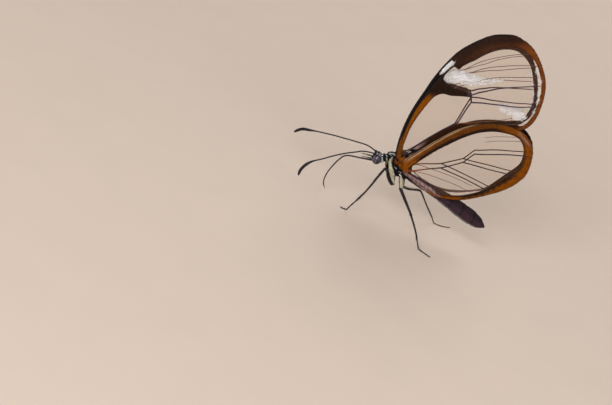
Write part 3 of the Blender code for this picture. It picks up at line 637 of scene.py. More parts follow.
def limb(name, knots, sides=3, resolution=5):
    """A smooth tapered tube through knots of x, y, z and radius, closed at both ends."""
    bpy.ops.object.select_all(action="DESELECT")
    bpy.ops.curve.primitive_bezier_curve_add(radius=1.0, location=(0.0, 0.0, 0.0))
    guide = bpy.context.object
    bpy.ops.object.mode_set(mode="EDIT")
    if len(knots) > 2:
        bpy.ops.curve.subdivide(number_cuts=len(knots) - 2)
    bpy.ops.curve.handle_type_set(type="AUTOMATIC")
    bpy.ops.object.mode_set(mode="OBJECT")
    shape = guide.data
    for point, knot in zip(shape.splines[0].bezier_points, knots):
        point.co = knot[:3]
        point.radius = knot[3]
        point.handle_left_type = "AUTO"
        point.handle_right_type = "AUTO"
    shape.resolution_u = resolution
    shape.bevel_depth = 1.0
    shape.bevel_resolution = sides
    shape.use_fill_caps = True
    only(guide)
    bpy.ops.object.convert(target="MESH")
    tube = bpy.context.object
    tube.name = name
    bpy.ops.object.mode_set(mode="EDIT")
    bpy.ops.mesh.select_all(action="SELECT")
    bpy.ops.mesh.remove_doubles(threshold=0.001)
    bpy.ops.mesh.normals_make_consistent(inside=False)
    bpy.ops.object.mode_set(mode="OBJECT")
    return tube


def rounded_mass(name, centre, half, pitch, segments=40, rings=24):
    bpy.ops.object.select_all(action="DESELECT")
    bpy.ops.mesh.primitive_uv_sphere_add(segments=segments, ring_count=rings, radius=1.0,
                                         location=centre, scale=half,
                                         rotation=(0.0, math.radians(pitch), 0.0))
    mass = bpy.context.object
    mass.name = name
    bpy.ops.object.transform_apply(location=True, rotation=True, scale=True)
    return mass


def on_side(knots, sign):
    """Knots given for the right side, set on the side of that sign."""
    return [(x, sign * y, z, radius) for x, y, z, radius in knots]


def voxel_skin(obj, size):
    """A modifier that makes one closed skin of what overlaps, with faces of a size."""
    remesh = obj.modifiers.new("one_skin", "REMESH")
    remesh.mode = "VOXEL"
    remesh.voxel_size = size
    remesh.use_smooth_shade = True


def triples(collection, key):
    flat = np.empty(len(collection) * 3, np.float32)
    collection.foreach_get(key, flat)
    return flat.reshape(-1, 3).astype(float)


def points_of(mesh):
    return triples(mesh.vertices, "co")


def normals_of(mesh):
    return triples(mesh.vertex_normals, "vector")


def move_points(mesh, points):
    mesh.vertices.foreach_set("co", points.astype(np.float32).ravel())
    mesh.update()


def set_tint(mesh, tints):
    layer = mesh.color_attributes.new("tint", "FLOAT_COLOR", "POINT")
    values = np.ones((len(tints), 4), np.float32)
    values[:, :3] = np.clip(tints, 0.0, 1.0)
    layer.data.foreach_set("color", values.ravel())


def mesh_object(name, points, faces, tints=None, patches=None):
    """A mesh of triangles with a colour at each point and, for a coat, its bake map."""
    mesh = bpy.data.meshes.new(name)
    count = len(faces)
    mesh.vertices.add(len(points))
    mesh.vertices.foreach_set("co", points.astype(np.float32).ravel())
    mesh.loops.add(count * 3)
    mesh.loops.foreach_set("vertex_index", faces.astype(np.int32).ravel())
    mesh.polygons.add(count)
    mesh.polygons.foreach_set("loop_start", np.arange(0, count * 3, 3, dtype=np.int32))
    mesh.update(calc_edges=True)
    if tints is not None:
        set_tint(mesh, tints)
    if patches is not None:
        layer = mesh.uv_layers.new(name="OFBake")
        layer.data.foreach_set("uv", patches[faces.ravel()].astype(np.float32).ravel())
    obj = bpy.data.objects.new(name, mesh)
    bpy.context.scene.collection.objects.link(obj)
    return obj


# Scales and hairs: six corners each, a blade with a raised middle, closed underneath
BLADE_ALONG = np.array([0.0, 0.55, 0.92, 0.92, 0.55, 0.5])
BLADE_ACROSS = np.array([0.0, -0.5, -0.28, 0.28, 0.5, 0.0])
BLADE_RISE = np.array([0.0, 0.45, 1.0, 1.0, 0.45, 0.5])
BLADE_CROWN = np.array([0.0, 0.0, 0.0, 0.0, 0.0, 1.0])
BLADE_FACES = np.array([(0, 1, 5), (1, 2, 5), (2, 3, 5), (3, 4, 5), (4, 0, 5),
                        (0, 4, 1), (4, 3, 1), (3, 2, 1)])
PATCH = 0.0015


def blades(name, roots, along, out, length, width, lift, crown, tints, unwrap, point=0.0):
    """A coat of thin blades: each lies along its direction and rises a little to its tip."""
    along = along - out * (along * out).sum(axis=1, keepdims=True)
    along /= np.linalg.norm(along, axis=1, keepdims=True)
    across = np.cross(out, along)
    across_shape = BLADE_ACROSS.copy()
    across_shape[2:4] *= 1.0 - point
    corners = (roots[:, None, :]
               + along[:, None, :] * (BLADE_ALONG[None, :, None] * length[:, None, None])
               + across[:, None, :] * (across_shape[None, :, None] * width[:, None, None])
               + out[:, None, :] * ((BLADE_RISE * lift)[None, :] + (BLADE_CROWN * crown)[None, :]
                                    )[:, :, None])
    count = len(roots)
    faces = (np.arange(count) * 6)[:, None, None] + BLADE_FACES[None]
    spread = np.stack([BLADE_ACROSS * 2 * PATCH, (BLADE_ALONG - 0.5) * 2 * PATCH], axis=1)
    patches = unwrap[:, None, :] + spread[None]
    return mesh_object(name, corners.reshape(-1, 3), faces.reshape(-1, 3),
                       np.repeat(tints, 6, axis=0), patches.reshape(-1, 2))


# Materials

def add_node(tree, kind, inputs=None, **settings):
    item = tree.nodes.new(kind)
    for key, value in settings.items():
        setattr(item, key, value)
    for key, value in (inputs or {}).items():
        if isinstance(value, bpy.types.NodeSocket):
            tree.links.new(value, item.inputs[key])
        else:
            item.inputs[key].default_value = value
    return item


def new_material(name):
    material = bpy.data.materials.new(name)
    material.use_nodes = True
    tree = material.node_tree
    return material, tree, tree.nodes["Principled BSDF"]


def set_sockets(shader, values):
    for socket, value in values.items():
        shader.inputs[socket].default_value = value


def grain(tree, size, detail=3.0, stretch=(1.0, 1.0, 1.0)):
    """Noise over the object with features of a size in millimetres."""
    place = add_node(tree, "ShaderNodeTexCoord")
    moved = add_node(tree, "ShaderNodeMapping", {"Vector": place.outputs["Object"],
                                                 "Scale": stretch})
    noise = add_node(tree, "ShaderNodeTexNoise", {"Vector": moved.outputs["Vector"],
                                                  "Scale": 1.0 / (size * MM), "Detail": detail})
    return noise.outputs["Fac"]


def tint_of(tree):
    """The colour that each point of the piece carries."""
    return add_node(tree, "ShaderNodeAttribute", attribute_name="tint").outputs["Color"]


def add_colour(tree, shader, colour, noise, low, high):
    """A colour of the surface, made darker and lighter by noise."""
    level = add_node(tree, "ShaderNodeMapRange", {"Value": noise, "From Min": 0.25,
                                                  "From Max": 0.75, "To Min": low,
                                                  "To Max": high})
    shaded = add_node(tree, "ShaderNodeVectorMath", {0: colour, "Scale": level.outputs["Result"]},
                      operation="SCALE")
    tree.links.new(shaded.outputs["Vector"], shader.inputs["Base Color"])


def add_two_tones(tree, shader, tones, noise, start, end):
    """A dark and a light tone of the surface; noise turns one into the other from start to end."""
    spread = add_node(tree, "ShaderNodeValToRGB", {"Fac": noise})
    for stop, tint, place in zip(spread.color_ramp.elements, tones, (start, end)):
        stop.position = place
        stop.color = (*tint, 1.0)
    tree.links.new(spread.outputs["Color"], shader.inputs["Base Color"])


def add_roughness(tree, shader, noise, low, high):
    rough = add_node(tree, "ShaderNodeMapRange", {"Value": noise, "To Min": low, "To Max": high})
    tree.links.new(rough.outputs["Result"], shader.inputs["Roughness"])


def add_bump(tree, shader, height, strength, depth):
    bump = add_node(tree, "ShaderNodeBump", {"Height": height, "Strength": strength,
                                             "Distance": depth * MM})
    tree.links.new(bump.outputs["Normal"], shader.inputs["Normal"])


def scaled_finish(name, roughness, speck, low, high, sheen=0.0, bump=0.0):
    """Small scales or hairs that carry their colour as tint."""
    material, tree, shader = new_material(name)
    noise = grain(tree, speck)
    add_colour(tree, shader, tint_of(tree), noise, low, high)
    add_roughness(tree, shader, noise, roughness - 0.12, roughness + 0.15)
    set_sockets(shader, {"Specular IOR Level": 0.06, "Sheen Weight": sheen,
                         "Sheen Roughness": 0.4})
    if bump:
        add_bump(tree, shader, grain(tree, 0.12, 2.0), bump, 0.04)
    return material


def membrane_finish():
    material, tree, shader = new_material("clear_membrane")
    add_colour(tree, shader, tuple(colours().membrane), grain(tree, 1.6, 4.0), 0.92, 1.05)
    set_sockets(shader, {"Roughness": 0.3, "IOR": 1.35, "Alpha": 0.055})
    add_bump(tree, shader, grain(tree, 0.7), 0.25, 0.05)
    return material


def vein_finish():
    material, tree, shader = new_material("vein_horn")
    add_colour(tree, shader, tint_of(tree), grain(tree, 0.5), 0.7, 1.3)
    set_sockets(shader, {"Roughness": 0.6, "Specular IOR Level": 0.25})
    add_bump(tree, shader, grain(tree, 0.09, 2.0), 0.4, 0.02)
    return material


def eye_finish():
    material, tree, shader = new_material("eye_facets")
    streaks = grain(tree, 0.2, 2.0, (1.0, 0.6, 0.12))
    add_two_tones(tree, shader, EYE_TONES, streaks, 0.47, 0.58)
    set_sockets(shader, {"Roughness": 0.35, "Coat Weight": 0.1, "Coat Roughness": 0.2})
    add_bump(tree, shader, grain(tree, 0.05, 1.0), 0.15, 0.01)
    return material


def horn_finish(name, tones, ring=0.22, roughness=0.4):
    """Horn of legs, feelers and tongue with fine scales across it."""
    material, tree, shader = new_material(name)
    noise = grain(tree, ring)
    add_two_tones(tree, shader, tones, noise, 0.35, 0.75)
    add_roughness(tree, shader, noise, roughness, roughness + 0.25)
    set_sockets(shader, {"Specular IOR Level": 0.2})
    add_bump(tree, shader, grain(tree, 0.06, 2.0), 0.5, 0.02)
    return material


def floor_finish():
    material, tree, shader = new_material("pale_floor")
    add_colour(tree, shader, tuple(colours().floor), grain(tree, 9.0, 5.0), 0.985, 1.015)
    set_sockets(shader, {"Roughness": 0.8})
    return material


# Body skin and its coat

def leaf_weight(points, loop, inset=0.07, soft=0.06):
    """1 in a mark of the body's side, with a soft edge; both sides carry it."""
    flat = points[:, [0, 2]]
    line = np.asarray(loop, float)
    gap = distance(flat, line, closed=True)
    return ramp(np.where(inside(flat, line), gap, -gap), inset - soft, inset + soft)


def body_tint(points):
    """Colours of the body's skin and coat at each point."""
    x, y, z = points.T
    out = np.abs(y)
    side = ramp(out, 0.3, 0.5)
    knots_x, knots_z, radii = zip(*ABDOMEN)
    height = (z - np.interp(x, knots_x, knots_z)) / np.interp(x, knots_x, radii)
    on_abdomen = ramp(x, 2.2, 3.0)
    line_x = (x - knots_x[0]) / (knots_x[-1] - knots_x[0]) * SEGMENTS
    ring = ramp(np.abs(line_x - np.round(line_x)), 0.12, 0.03)
    low_line = ramp(np.abs(height + 0.72), 0.2, 0.06)
    dorsal = ramp(z - 0.25 * x, 1.75, 2.1) * ramp(x, 2.0, 1.0) * ramp(x, -2.9, -2.4)
    hinge = np.zeros(len(points))
    for hx, hy, hz, radius in WING_HINGES[:3]:
        gap = np.sqrt((x - hx) ** 2 + (out - hy) ** 2 + (z - hz) ** 2)
        hinge = np.maximum(hinge, ramp(gap, radius + 0.28, radius + 0.1))
    colour = painted(all_over("black", points),
                     ("abdomen", 1.0, on_abdomen),
                     ("abdomen", 0.55, on_abdomen * ramp(height, 0.1, 0.8)),
                     ("black", 1.0, on_abdomen * ring * 0.6),
                     ("white", 0.4, on_abdomen * low_line * 0.4),
                     ("brown", 1.5, dorsal * 0.6),
                     ("orange", 1.0, hinge * ramp(out, 0.75, 1.0)),
                     ("white", 0.95, side * leaf_weight(points, COLLAR_MARK)),
                     ("cream", 1.05, side * leaf_weight(points, NECK_STRIPE)))
    mottle = np.sin(9.0 * x + 5.0 * z) * np.sin(8.0 * z - 6.0 * x + 1.0)
    plate = painted(all_over("cream", points), ("violet", 3.5, ramp(mottle, 0.25, 0.8) * 0.5))
    for loop in (FRONT_LEAF, REAR_LEAF):
        colour = paint_over(colour, plate, side * leaf_weight(points, loop))
    aside = ramp(out, 0.12, 0.25)
    for mx, mz, radius in SMALL_MARKS:
        mark = ramp(np.hypot(x - mx, z - mz), radius + 0.05, radius - 0.04)
        colour = painted(colour, ("white", 1.0, aside * mark))
    mx, mz, radius = FACE_MARK
    face = ramp(np.hypot(x - mx, z - mz), radius, 0.2)
    return painted(colour, ("white", 0.6, face * 0.8))


def body_middle(x):
    """Height of the line down the middle of the body."""
    return np.interp(x, (-4.2, -3.3, -1.9, 0.1, 1.5, *[knot[0] for knot in ABDOMEN[2:]]),
                     (-0.3, -0.2, 0.5, 0.2, -0.5, *[knot[1] for knot in ABDOMEN[2:]]))


def body_unwrap(points):
    """The body's own unwrap: along it and round it."""
    x, y, z = points.T
    round_it = np.arctan2(y, -(z - body_middle(x))) / TURN + 0.5
    return np.stack([0.02 + 0.96 * (x - BODY_START) / BODY_LENGTH, 0.02 + 0.96 * round_it], axis=1)


def build_abdomen():
    fine = smooth_line(ABDOMEN, 0.12)
    knots = []
    for segment in range(SEGMENTS):
        for share, swell in SEGMENT_SWELLS:
            x, z, radius = fine[round((segment + share) / SEGMENTS * (len(fine) - 1))]
            knots.append((x, 0.0, z, radius * swell))
    knots.append((*fine[-3][[0]], 0.0, fine[-3][1], fine[-3][2]))
    knots.append((fine[-1][0], 0.0, fine[-1][1], 0.08))
    abdomen = limb("abdomen_form", knots, sides=8, resolution=3)
    abdomen.scale = (1.0, ABDOMEN_WIDTH_SHARE, 1.0)
    only(abdomen)
    bpy.ops.object.transform_apply(location=True, rotation=True, scale=True)
    return abdomen


class GLASSWING_OT_body(bpy.types.Operator):
    """One skin over head, neck, thorax, abdomen and the roots of the legs and wings"""
    bl_idname = "glasswing.body"
    bl_label = "Body skin"

    def execute(self, context):
        masses = (*THORAX, *HEAD, COLLAR)
        forms = [rounded_mass(f"mass_{index}", *mass) for index, mass in enumerate(masses)]
        forms.append(limb("neck", NECK, sides=6))
        forms.append(build_abdomen())
        for coxa in (COXA_MID, COXA_HIND):
            for sign in (-1, 1):
                forms.append(limb("coxa", on_side(coxa, sign), sides=6))
        for x, y, z, radius in WING_HINGES:
            for sign in (-1, 1):
                forms.append(rounded_mass("hinge", (x, sign * y, z), (radius,) * 3, 0.0, 24, 14))
        skin = join(forms, "body_skin")
        voxel_skin(skin, sizes().skin_grain * 1.6)
        even = skin.modifiers.new("even", "SMOOTH")
        even.factor = 0.6
        even.iterations = 4
        apply_modifiers(skin)
        voxel_skin(skin, sizes().skin_grain)
        apply_modifiers(skin)
        points = points_of(skin.data)
        outward = normals_of(skin.data)
        plates = np.zeros(len(points))
        side = ramp(np.abs(points[:, 1]), 0.4, 0.6)
        for loop in (FRONT_LEAF, REAR_LEAF, NECK_STRIPE):
            plates += side * leaf_weight(points, loop, 0.1) * PLATE_RISE
        move_points(skin.data, points + outward * (plates - SKIN_SINK)[:, None])
        set_tint(skin.data, body_tint(points_of(skin.data)))
        finish = scaled_finish("body_scales", 0.65, 0.3, 0.7, 1.25, bump=0.8)
        finish_piece(skin, finish, ("thorax", "abdomen", "head"))
        return {"FINISHED"}


def spread_roots(mesh, spacing, seed):
    """Roots spread evenly over a closed skin with their normals."""
    rng = np.random.default_rng(seed)
    mesh.calc_loop_triangles()
    count = len(mesh.loop_triangles)
    corners = np.empty(count * 3, np.int32)
    mesh.loop_triangles.foreach_get("vertices", corners)
    corners = corners.reshape(-1, 3)
    points, outward = points_of(mesh), normals_of(mesh)
    a, b, c = (points[corners[:, k]] for k in range(3))
    area = np.linalg.norm(np.cross(b - a, c - a), axis=1) / 2
    number = int(area.sum() / spacing ** 2)
    chosen = np.searchsorted(np.cumsum(area), (np.arange(number) + rng.random(number))
                             / number * area.sum())
    chosen = np.clip(chosen, 0, count - 1)
    u, v = rng.random((2, number, 1))
    over = u + v > 1
    u, v = np.where(over, 1 - u, u), np.where(over, 1 - v, v)
    roots = a[chosen] * (1 - u - v) + b[chosen] * u + c[chosen] * v
    out = outward[corners[chosen]].mean(axis=1)
    return roots, out / np.linalg.norm(out, axis=1, keepdims=True), rng


class GLASSWING_OT_body_coat(bpy.types.Operator):
    """Short hairs and scales that lie back along the body"""
    bl_idname = "glasswing.body_coat"
    bl_label = "Body coat"

    def execute(self, context):
        skin = bpy.data.objects["body_skin"]
        roots, out, rng = spread_roots(skin.data, HAIR_SPACING * MM, BODY_SEED)
        roots = (roots - np.array(ORIGIN)) / MM
        x, y, z = roots.T
        wing_gap = (np.abs(y) > 0.5) & (z > 2.2)
        roots, out = roots[~wing_gap], out[~wing_gap]
        x, y, z = roots.T
        down = 0.5 * ramp(x, 0.5, -1.0) * ramp(np.abs(y), 0.4, 0.9) * ramp(x, -2.6, -1.8)
        lie = np.stack([np.full(len(x), 1.0), 0.15 * np.sign(y), -0.35 - down], axis=1)
        lie[x < -2.8, 2] = 0.5
        lie += rng.normal(0.0, 0.16, lie.shape)
        abdomen = ramp(x, 2.4, 3.2)
        head = ramp(x, -2.5, -2.9)
        length = sizes().hair_length * (1.0 - 0.35 * abdomen - 0.45 * head)
        dorsal = ramp(z - 0.25 * x, 1.7, 2.2) * (1 - abdomen)
        length = length * (1.0 + 0.6 * dorsal) * rng.uniform(0.75, 1.2, len(x))
        width = sizes().hair_width * (1.0 + 0.9 * abdomen) * rng.uniform(0.8, 1.2, len(x))
        tints = body_tint(roots) * rng.uniform(0.72, 1.25, (len(x), 1))
        coat = blades("body_coat", roots - out * 0.02, lie, out, length, width, 0.09, 0.02, tints,
                      body_unwrap(roots), point=0.5)
        finish = scaled_finish("body_hairs", 0.6, 0.5, 0.8, 1.15, sheen=0.04)
        finish_piece(coat, finish)
        return {"FINISHED"}


class GLASSWING_OT_eyes(bpy.types.Operator):
    """Two faceted eyes set into the sides of the head"""
    bl_idname = "glasswing.eyes"
    bl_label = "Eyes"

    def execute(self, context):
        finish = eye_finish()
        for side, sign in SIDES:
            bpy.ops.object.select_all(action="DESELECT")
            bpy.ops.mesh.primitive_ico_sphere_add(subdivisions=5, radius=1.0)
            eye = bpy.context.object
            eye.name = f"eye_facets_{side}"
            tops = len(eye.data.vertices)
            bpy.ops.object.mode_set(mode="EDIT")
            bpy.ops.mesh.select_all(action="SELECT")
            bpy.ops.mesh.subdivide(number_cuts=1)
            bpy.ops.object.mode_set(mode="OBJECT")
            points = points_of(eye.data)
            reach = np.where(np.arange(len(points)) < tops, 1.0, 0.985)
            points *= (reach / np.linalg.norm(points, axis=1))[:, None]
            points = points * np.array(EYE_HALF) + np.array((HEAD_CENTRE[0], sign * EYE_CENTRE_Y,
                                                             HEAD_CENTRE[2]))
            move_points(eye.data, points)
            only(eye)
            bpy.ops.object.shade_smooth()
            finish_piece(eye, finish, (f"eye_{side}",))
        return {"FINISHED"}


def along_limb(knots, spacing):
    """Points, directions and radii along a limb, about a spacing apart."""
    line = smooth_line(knots, spacing)
    ahead = np.gradient(line[:, :3], axis=0)
    ahead /= np.maximum(np.linalg.norm(ahead, axis=1, keepdims=True), 1e-9)
    return line[:, :3], ahead, line[:, 3]


def bristles(name, knots, spacing, ring, length, width, lift, tint, seed):
    """Hairs set in rings round a limb, lying towards its tip."""
    rng = np.random.default_rng(seed)
    centres, ahead, radii = along_limb(knots, spacing)
    count = len(centres)
    sides = np.cross(ahead, (0.0, 0.37, 1.0))
    sides /= np.linalg.norm(sides, axis=1, keepdims=True)
    ups = np.cross(sides, ahead)
    turns = np.arange(ring)[None] * TURN / ring + rng.uniform(0, 0.8, (count, 1))
    out = (sides[:, None] * np.cos(turns)[..., None]
           + ups[:, None] * np.sin(turns)[..., None]).reshape(-1, 3)
    roots = np.repeat(centres, ring, axis=0) + out * np.repeat(radii, ring)[:, None] * 0.95
    lie = np.repeat(ahead, ring, axis=0) + rng.normal(0, 0.12, out.shape)
    number = len(roots)
    share = np.repeat(np.linspace(0, 1, count), ring)
    unwrap = np.stack([0.05 + 0.9 * share, 0.05 + 0.9 * (turns.ravel() % TURN) / TURN], axis=1)
    tints = np.asarray(tint)[None] * rng.uniform(0.7, 1.3, (number, 1))
    return blades(name, roots, lie, out, length * rng.uniform(0.7, 1.2, number),
                  np.full(number, width), lift, width * 0.4, tints, unwrap, point=0.8)


class GLASSWING_OT_mouthparts(bpy.types.Operator):
    """The tongue with its groove and two hairy palps"""
    bl_idname = "glasswing.mouthparts"
    bl_label = "Tongue and palps"

    def execute(self, context):
        tongue = limb("tongue", PROBOSCIS, sides=5, resolution=8)
        points = points_of(tongue.data)
        middle = smooth_line(PROBOSCIS, 0.1)[:, :3]
        near = np.argmin(((points[:, None] - middle[None]) ** 2).sum(axis=2), axis=1)
        arm = points - middle[near]
        lift = 1.0 - 0.28 * ramp(np.abs(arm[:, 1]), 0.05, 0.0)
        move_points(tongue.data, middle[near] + arm * lift[:, None])
        smooth_shade(tongue)
        finish_piece(tongue, horn_finish("tongue_horn", TONGUE_TONES), ("proboscis",))
        finish = scaled_finish("palp_scales", 0.6, 0.3, 0.8, 1.2, sheen=0.2)
        for side, sign in SIDES:
            knots = on_side(PALP, sign)
            palp = limb(f"palp_skin_{side}", knots, sides=5)
            points = points_of(palp.data)
            under = ramp(points[:, 2] + 0.66, 0.05, -0.12) * ramp(points[:, 0], -5.5, -5.1)
            set_tint(palp.data, painted(all_over("black", points, 1.5), ("cream", 0.6, under)))
            smooth_shade(palp)
            finish_piece(palp, finish, (f"palp_{side}",))
            coat = bristles(f"palp_hairs_{side}", knots, 0.06, 8, 0.15, 0.03, 0.04,
                            tone("cream") * 0.55, PALP_SEED + sign)
            finish_piece(coat, finish)
        return {"FINISHED"}


class GLASSWING_OT_antennae(bpy.types.Operator):
    """Two ringed feelers that thicken to a slim club"""
    bl_idname = "glasswing.antennae"
    bl_label = "Feelers"

    def execute(self, context):
        finish = horn_finish("feeler_scales", FEELER_TONES, ring=0.3, roughness=0.45)
        for side, route in (("left", ANTENNA_LEFT), ("right", ANTENNA_RIGHT)):
            line = smooth_line(route, 0.13)
            count = len(line)
            share = np.arange(count) / (count - 1)
            swell = ramp(share, 0.7, 0.86) * ramp(share, 1.04, 0.93)
            radii = sizes().feeler + (sizes().club - sizes().feeler) * swell
            radii *= 1.0 + 0.07 * np.where(np.arange(count) % 2 == 0, 1, -1)
            radii[:4] = (0.2, 0.22, 0.21, 0.13)
            radii[-2:] = (radii[-3] * 0.75, 0.04)
            knots = [(*point, radius) for point, radius in zip(line, radii)]
            feeler = limb(f"feeler_{side}", knots, sides=4, resolution=2)
            smooth_shade(feeler)
            finish_piece(feeler, finish, (f"antenna_{side}",))
        return {"FINISHED"}


def foot_knots(route, first_radius):
    """Five beads from the shin's end to the toe, lying on the floor where the route does."""
    line = smooth_line(route, 0.06)
    length = np.concatenate([[0], np.cumsum(np.linalg.norm(np.diff(line, axis=0), axis=1))])
    share = length / length[-1]
    knots = []
    for index, (start, end) in enumerate(zip(FOOT_JOINTS, FOOT_JOINTS[1:])):
        size = first_radius * (1.0 - 0.06 * index)
        for at, swell in BEAD_SWELLS:
            place = start + (end - start) * at
            x, y, z = (np.interp(place, share, line[:, k]) for k in range(3))
            radius = size * swell
            knots.append((x, y, max(z, FLOOR_Z + radius + 0.01), radius))
    return knots


class GLASSWING_OT_legs(bpy.types.Operator):
    """Four walking legs with beaded feet, claws and bristles, and the small folded forelegs"""
    bl_idname = "glasswing.legs"
    bl_label = "Legs"

    def execute(self, context):
        finish = horn_finish("leg_horn", LEG_TONES, ring=0.35, roughness=0.42)
        # The far hind leg's brown horn is the black leg horn painted lighter, as painted light
        brown = horn_finish("leg_horn_brown", LIT_LEG_TONES, ring=0.35, roughness=0.42)
        hairs = scaled_finish("leg_hairs", 0.5, 0.3, 0.8, 1.2)
        legs = (("midleg_left", MID_LEFT, MID_LEFT_FOOT, finish),
                ("midleg_right", MID_RIGHT, MID_RIGHT_FOOT, finish),
                ("hindleg_left", HIND_LEFT, HIND_LEFT_FOOT, finish),
                ("hindleg_right", HIND_RIGHT, HIND_RIGHT_FOOT, brown))
        for seed, (node, upper, foot, horn) in enumerate(legs):
            toes = foot_knots(foot, upper[-1][3] * 0.95)
            pieces = [limb(f"{node}_shin", upper, sides=5, resolution=6),
                      limb(f"{node}_foot", toes, sides=5, resolution=3)]
            end, before = np.array(toes[-1][:3]), np.array(toes[-4][:3])
            ahead = (end - before) / np.linalg.norm(end - before)
            aside = np.array((-ahead[1], ahead[0], 0.0))
            for sign in (-1, 1):
                tip = end + ahead * 0.26 + aside * sign * 0.12
                bend = end + ahead * 0.16 + aside * sign * 0.09 + (0.0, 0.0, 0.06)
                claw = ((*end, 0.06), (*bend, 0.035), (tip[0], tip[1], FLOOR_Z + 0.03, 0.012))
                pieces.append(limb("claw", claw, sides=2, resolution=4))
            leg = join(pieces, f"{node}_horn")
            smooth_shade(leg)
            finish_piece(leg, horn, (node,))
            coat = bristles(f"{node}_bristles", upper, 0.11, 5, 0.26, 0.035, 0.09,
                            tone("black") * 1.6, LEG_SEED + seed)
            finish_piece(coat, hairs)
        for side, sign in SIDES:
            knots = on_side(FORELEG, sign)
            leg = limb(f"foreleg_horn_{side}", knots, sides=5)
            smooth_shade(leg)
            finish_piece(leg, finish, (f"foreleg_{side}",))
            coat = bristles(f"foreleg_hairs_{side}", knots, 0.07, 8, 0.3, 0.04, 0.1,
                            tone("black") * 1.8, FORELEG_SEED + sign)
            finish_piece(coat, hairs)
        return {"FINISHED"}


# Wings

def net_of(form, step):
    """Triangles over the whole wing whose edges keep to the outline and the windows."""
    loops = [form.loop, *form.windows]
    points, edges = [], []
    for loop in loops:
        first = len(points)
        points += [tuple(point) for point in loop]
        count = len(loop)
        edges += [(first + k, first + (k + 1) % count) for k in range(count)]
    low, high = form.loop.min(axis=0), form.loop.max(axis=0)
    rows = []
    for row, z in enumerate(np.arange(low[1], high[1], step * 0.87)):
        x = np.arange(low[0] + step / 2 * (row % 2), high[0], step)
        rows.append(np.stack([x, np.full(len(x), z)], axis=1))
    grid = np.concatenate(rows)
    far = np.min([distance(grid, loop, closed=True) for loop in loops], axis=0) > step * 0.4
    grid = grid[inside(grid, form.loop) & far]
    points += [tuple(point) for point in grid]
    found, _, faces, *_ = delaunay_2d_cdt([Vector(p) for p in points], edges, [], 1, 1e-4)
    found = np.array([tuple(p) for p in found])
    faces = np.array([face for face in faces if len(face) == 3])
    middle = found[faces].mean(axis=1)
    return found, faces, form.in_windows(middle)


def sheet(name, form, sign, place, flat, faces, thickness):
    """A thin closed sheet over some of the wing's triangles."""
    used, faces = np.unique(faces, return_inverse=True)
    faces = faces.reshape(-1, 3)
    flat = flat[used]
    if sign > 0:
        faces = faces[:, ::-1]
    obj = mesh_object(name, raise_points(form, sign, place, flat), faces)
    shell = obj.modifiers.new("thickness", "SOLIDIFY")
    shell.thickness = thickness
    shell.offset = 0.0
    apply_modifiers(obj)
    return obj, np.concatenate([flat, flat])


class GLASSWING_OT_wings(bpy.types.Operator):
    """Clear membranes and the scaled bands round them, in one plane"""
    bl_idname = "glasswing.wings"
    bl_label = "Membranes and bands"

    def execute(self, context):
        clear = membrane_finish()
        scaled = scaled_finish("band_scales", 0.6, 0.25, 0.75, 1.2, bump=0.6)
        nets = {id(form): net_of(form, NET_STEP) for form in (FORE, HIND, HIND_FAR)}
        for node, form, sign, place, tint in WINGS:
            flat, faces, windows = nets[id(form)]
            membrane, _ = sheet(f"{node}_membrane", form, sign, place, flat, faces[windows],
                                sizes().membrane)
            smooth_shade(membrane)
            finish_piece(membrane, clear, (node,))
            band, both = sheet(f"{node}_band", form, sign, place, flat, faces[~windows],
                               sizes().band)
            outer = normals_of(band.data)[:, 1] * sign > 0
            tints = np.where(outer[:, None], tint(both, True), tint(both, False))
            set_tint(band.data, tints * BAND_SHADE)
            smooth_shade(band)
            finish_piece(band, scaled)
        return {"FINISHED"}


class GLASSWING_OT_veins(bpy.types.Operator):
    """Raised veins through both faces of each wing"""
    bl_idname = "glasswing.veins"
    bl_label = "Veins"

    def execute(self, context):
        finish = vein_finish()
        for node, form, sign, place, _ in WINGS:
            tubes, tints = [], []
            for name, line, start, end in form.veins:
                points = raise_points(form, sign, place, line)
                radii = np.linspace(start, end, len(line))
                radii[-1] *= 0.5
                tube = limb(name, [(*point, radius) for point, radius in zip(points, radii)],
                            sides=2, resolution=2)
                dark = tone("black") * 1.5 if start > 0.06 else tone("brown") * 2.5
                if form is FORE and name not in ("costa", "radius", "discal"):
                    dark = dark + tone("violet")
                root = np.array(points[0])
                gap = np.linalg.norm(points_of(tube.data) - root, axis=1)
                colour = np.tile(dark, (len(gap), 1))
                if name in ("stem", "anal", "cubitus_branch"):
                    colour = painted(colour, ("rust", 0.9, ramp(gap, 5.0, 1.5)))
                tubes.append(tube)
                tints.append(colour)
            veins = join(tubes, f"{node}_veins")
            set_tint(veins.data, np.concatenate(tints))
            smooth_shade(veins)
            finish_piece(veins, finish)
        return {"FINISHED"}


def wing_unwrap(form, flat, outer):
    """The flat wing's own unwrap, with the inner face beside the outer one."""
    low, high = form.loop.min(axis=0) - 0.5, form.loop.max(axis=0) + 0.5
    share = (flat - low) / (high - low).max()
    return np.stack([share[:, 0] * 0.68 * 0.72 + (0.01 if outer else 0.51),
                     0.01 + 0.97 * share[:, 1]], axis=1)


def shingle_roots(form, row_step, scale_step, rng):
    """Roots in staggered rows across the wing, row after row away from its root."""
    reach = np.linalg.norm(form.loop - form.root, axis=1).max() + 1.0
    rows = []
    for row, radius in enumerate(np.arange(0.4, reach, row_step)):
        turn = scale_step / radius
        angles = np.arange(-math.pi / 2, math.pi, turn) + turn * 0.5 * (row % 2)
        angles = angles + rng.normal(0, turn * 0.12, len(angles))
        far = radius + rng.normal(0, row_step * 0.12, len(angles))
        rows.append(form.root + np.stack([np.cos(angles) * far, np.sin(angles) * far], axis=1))
    return np.concatenate(rows)


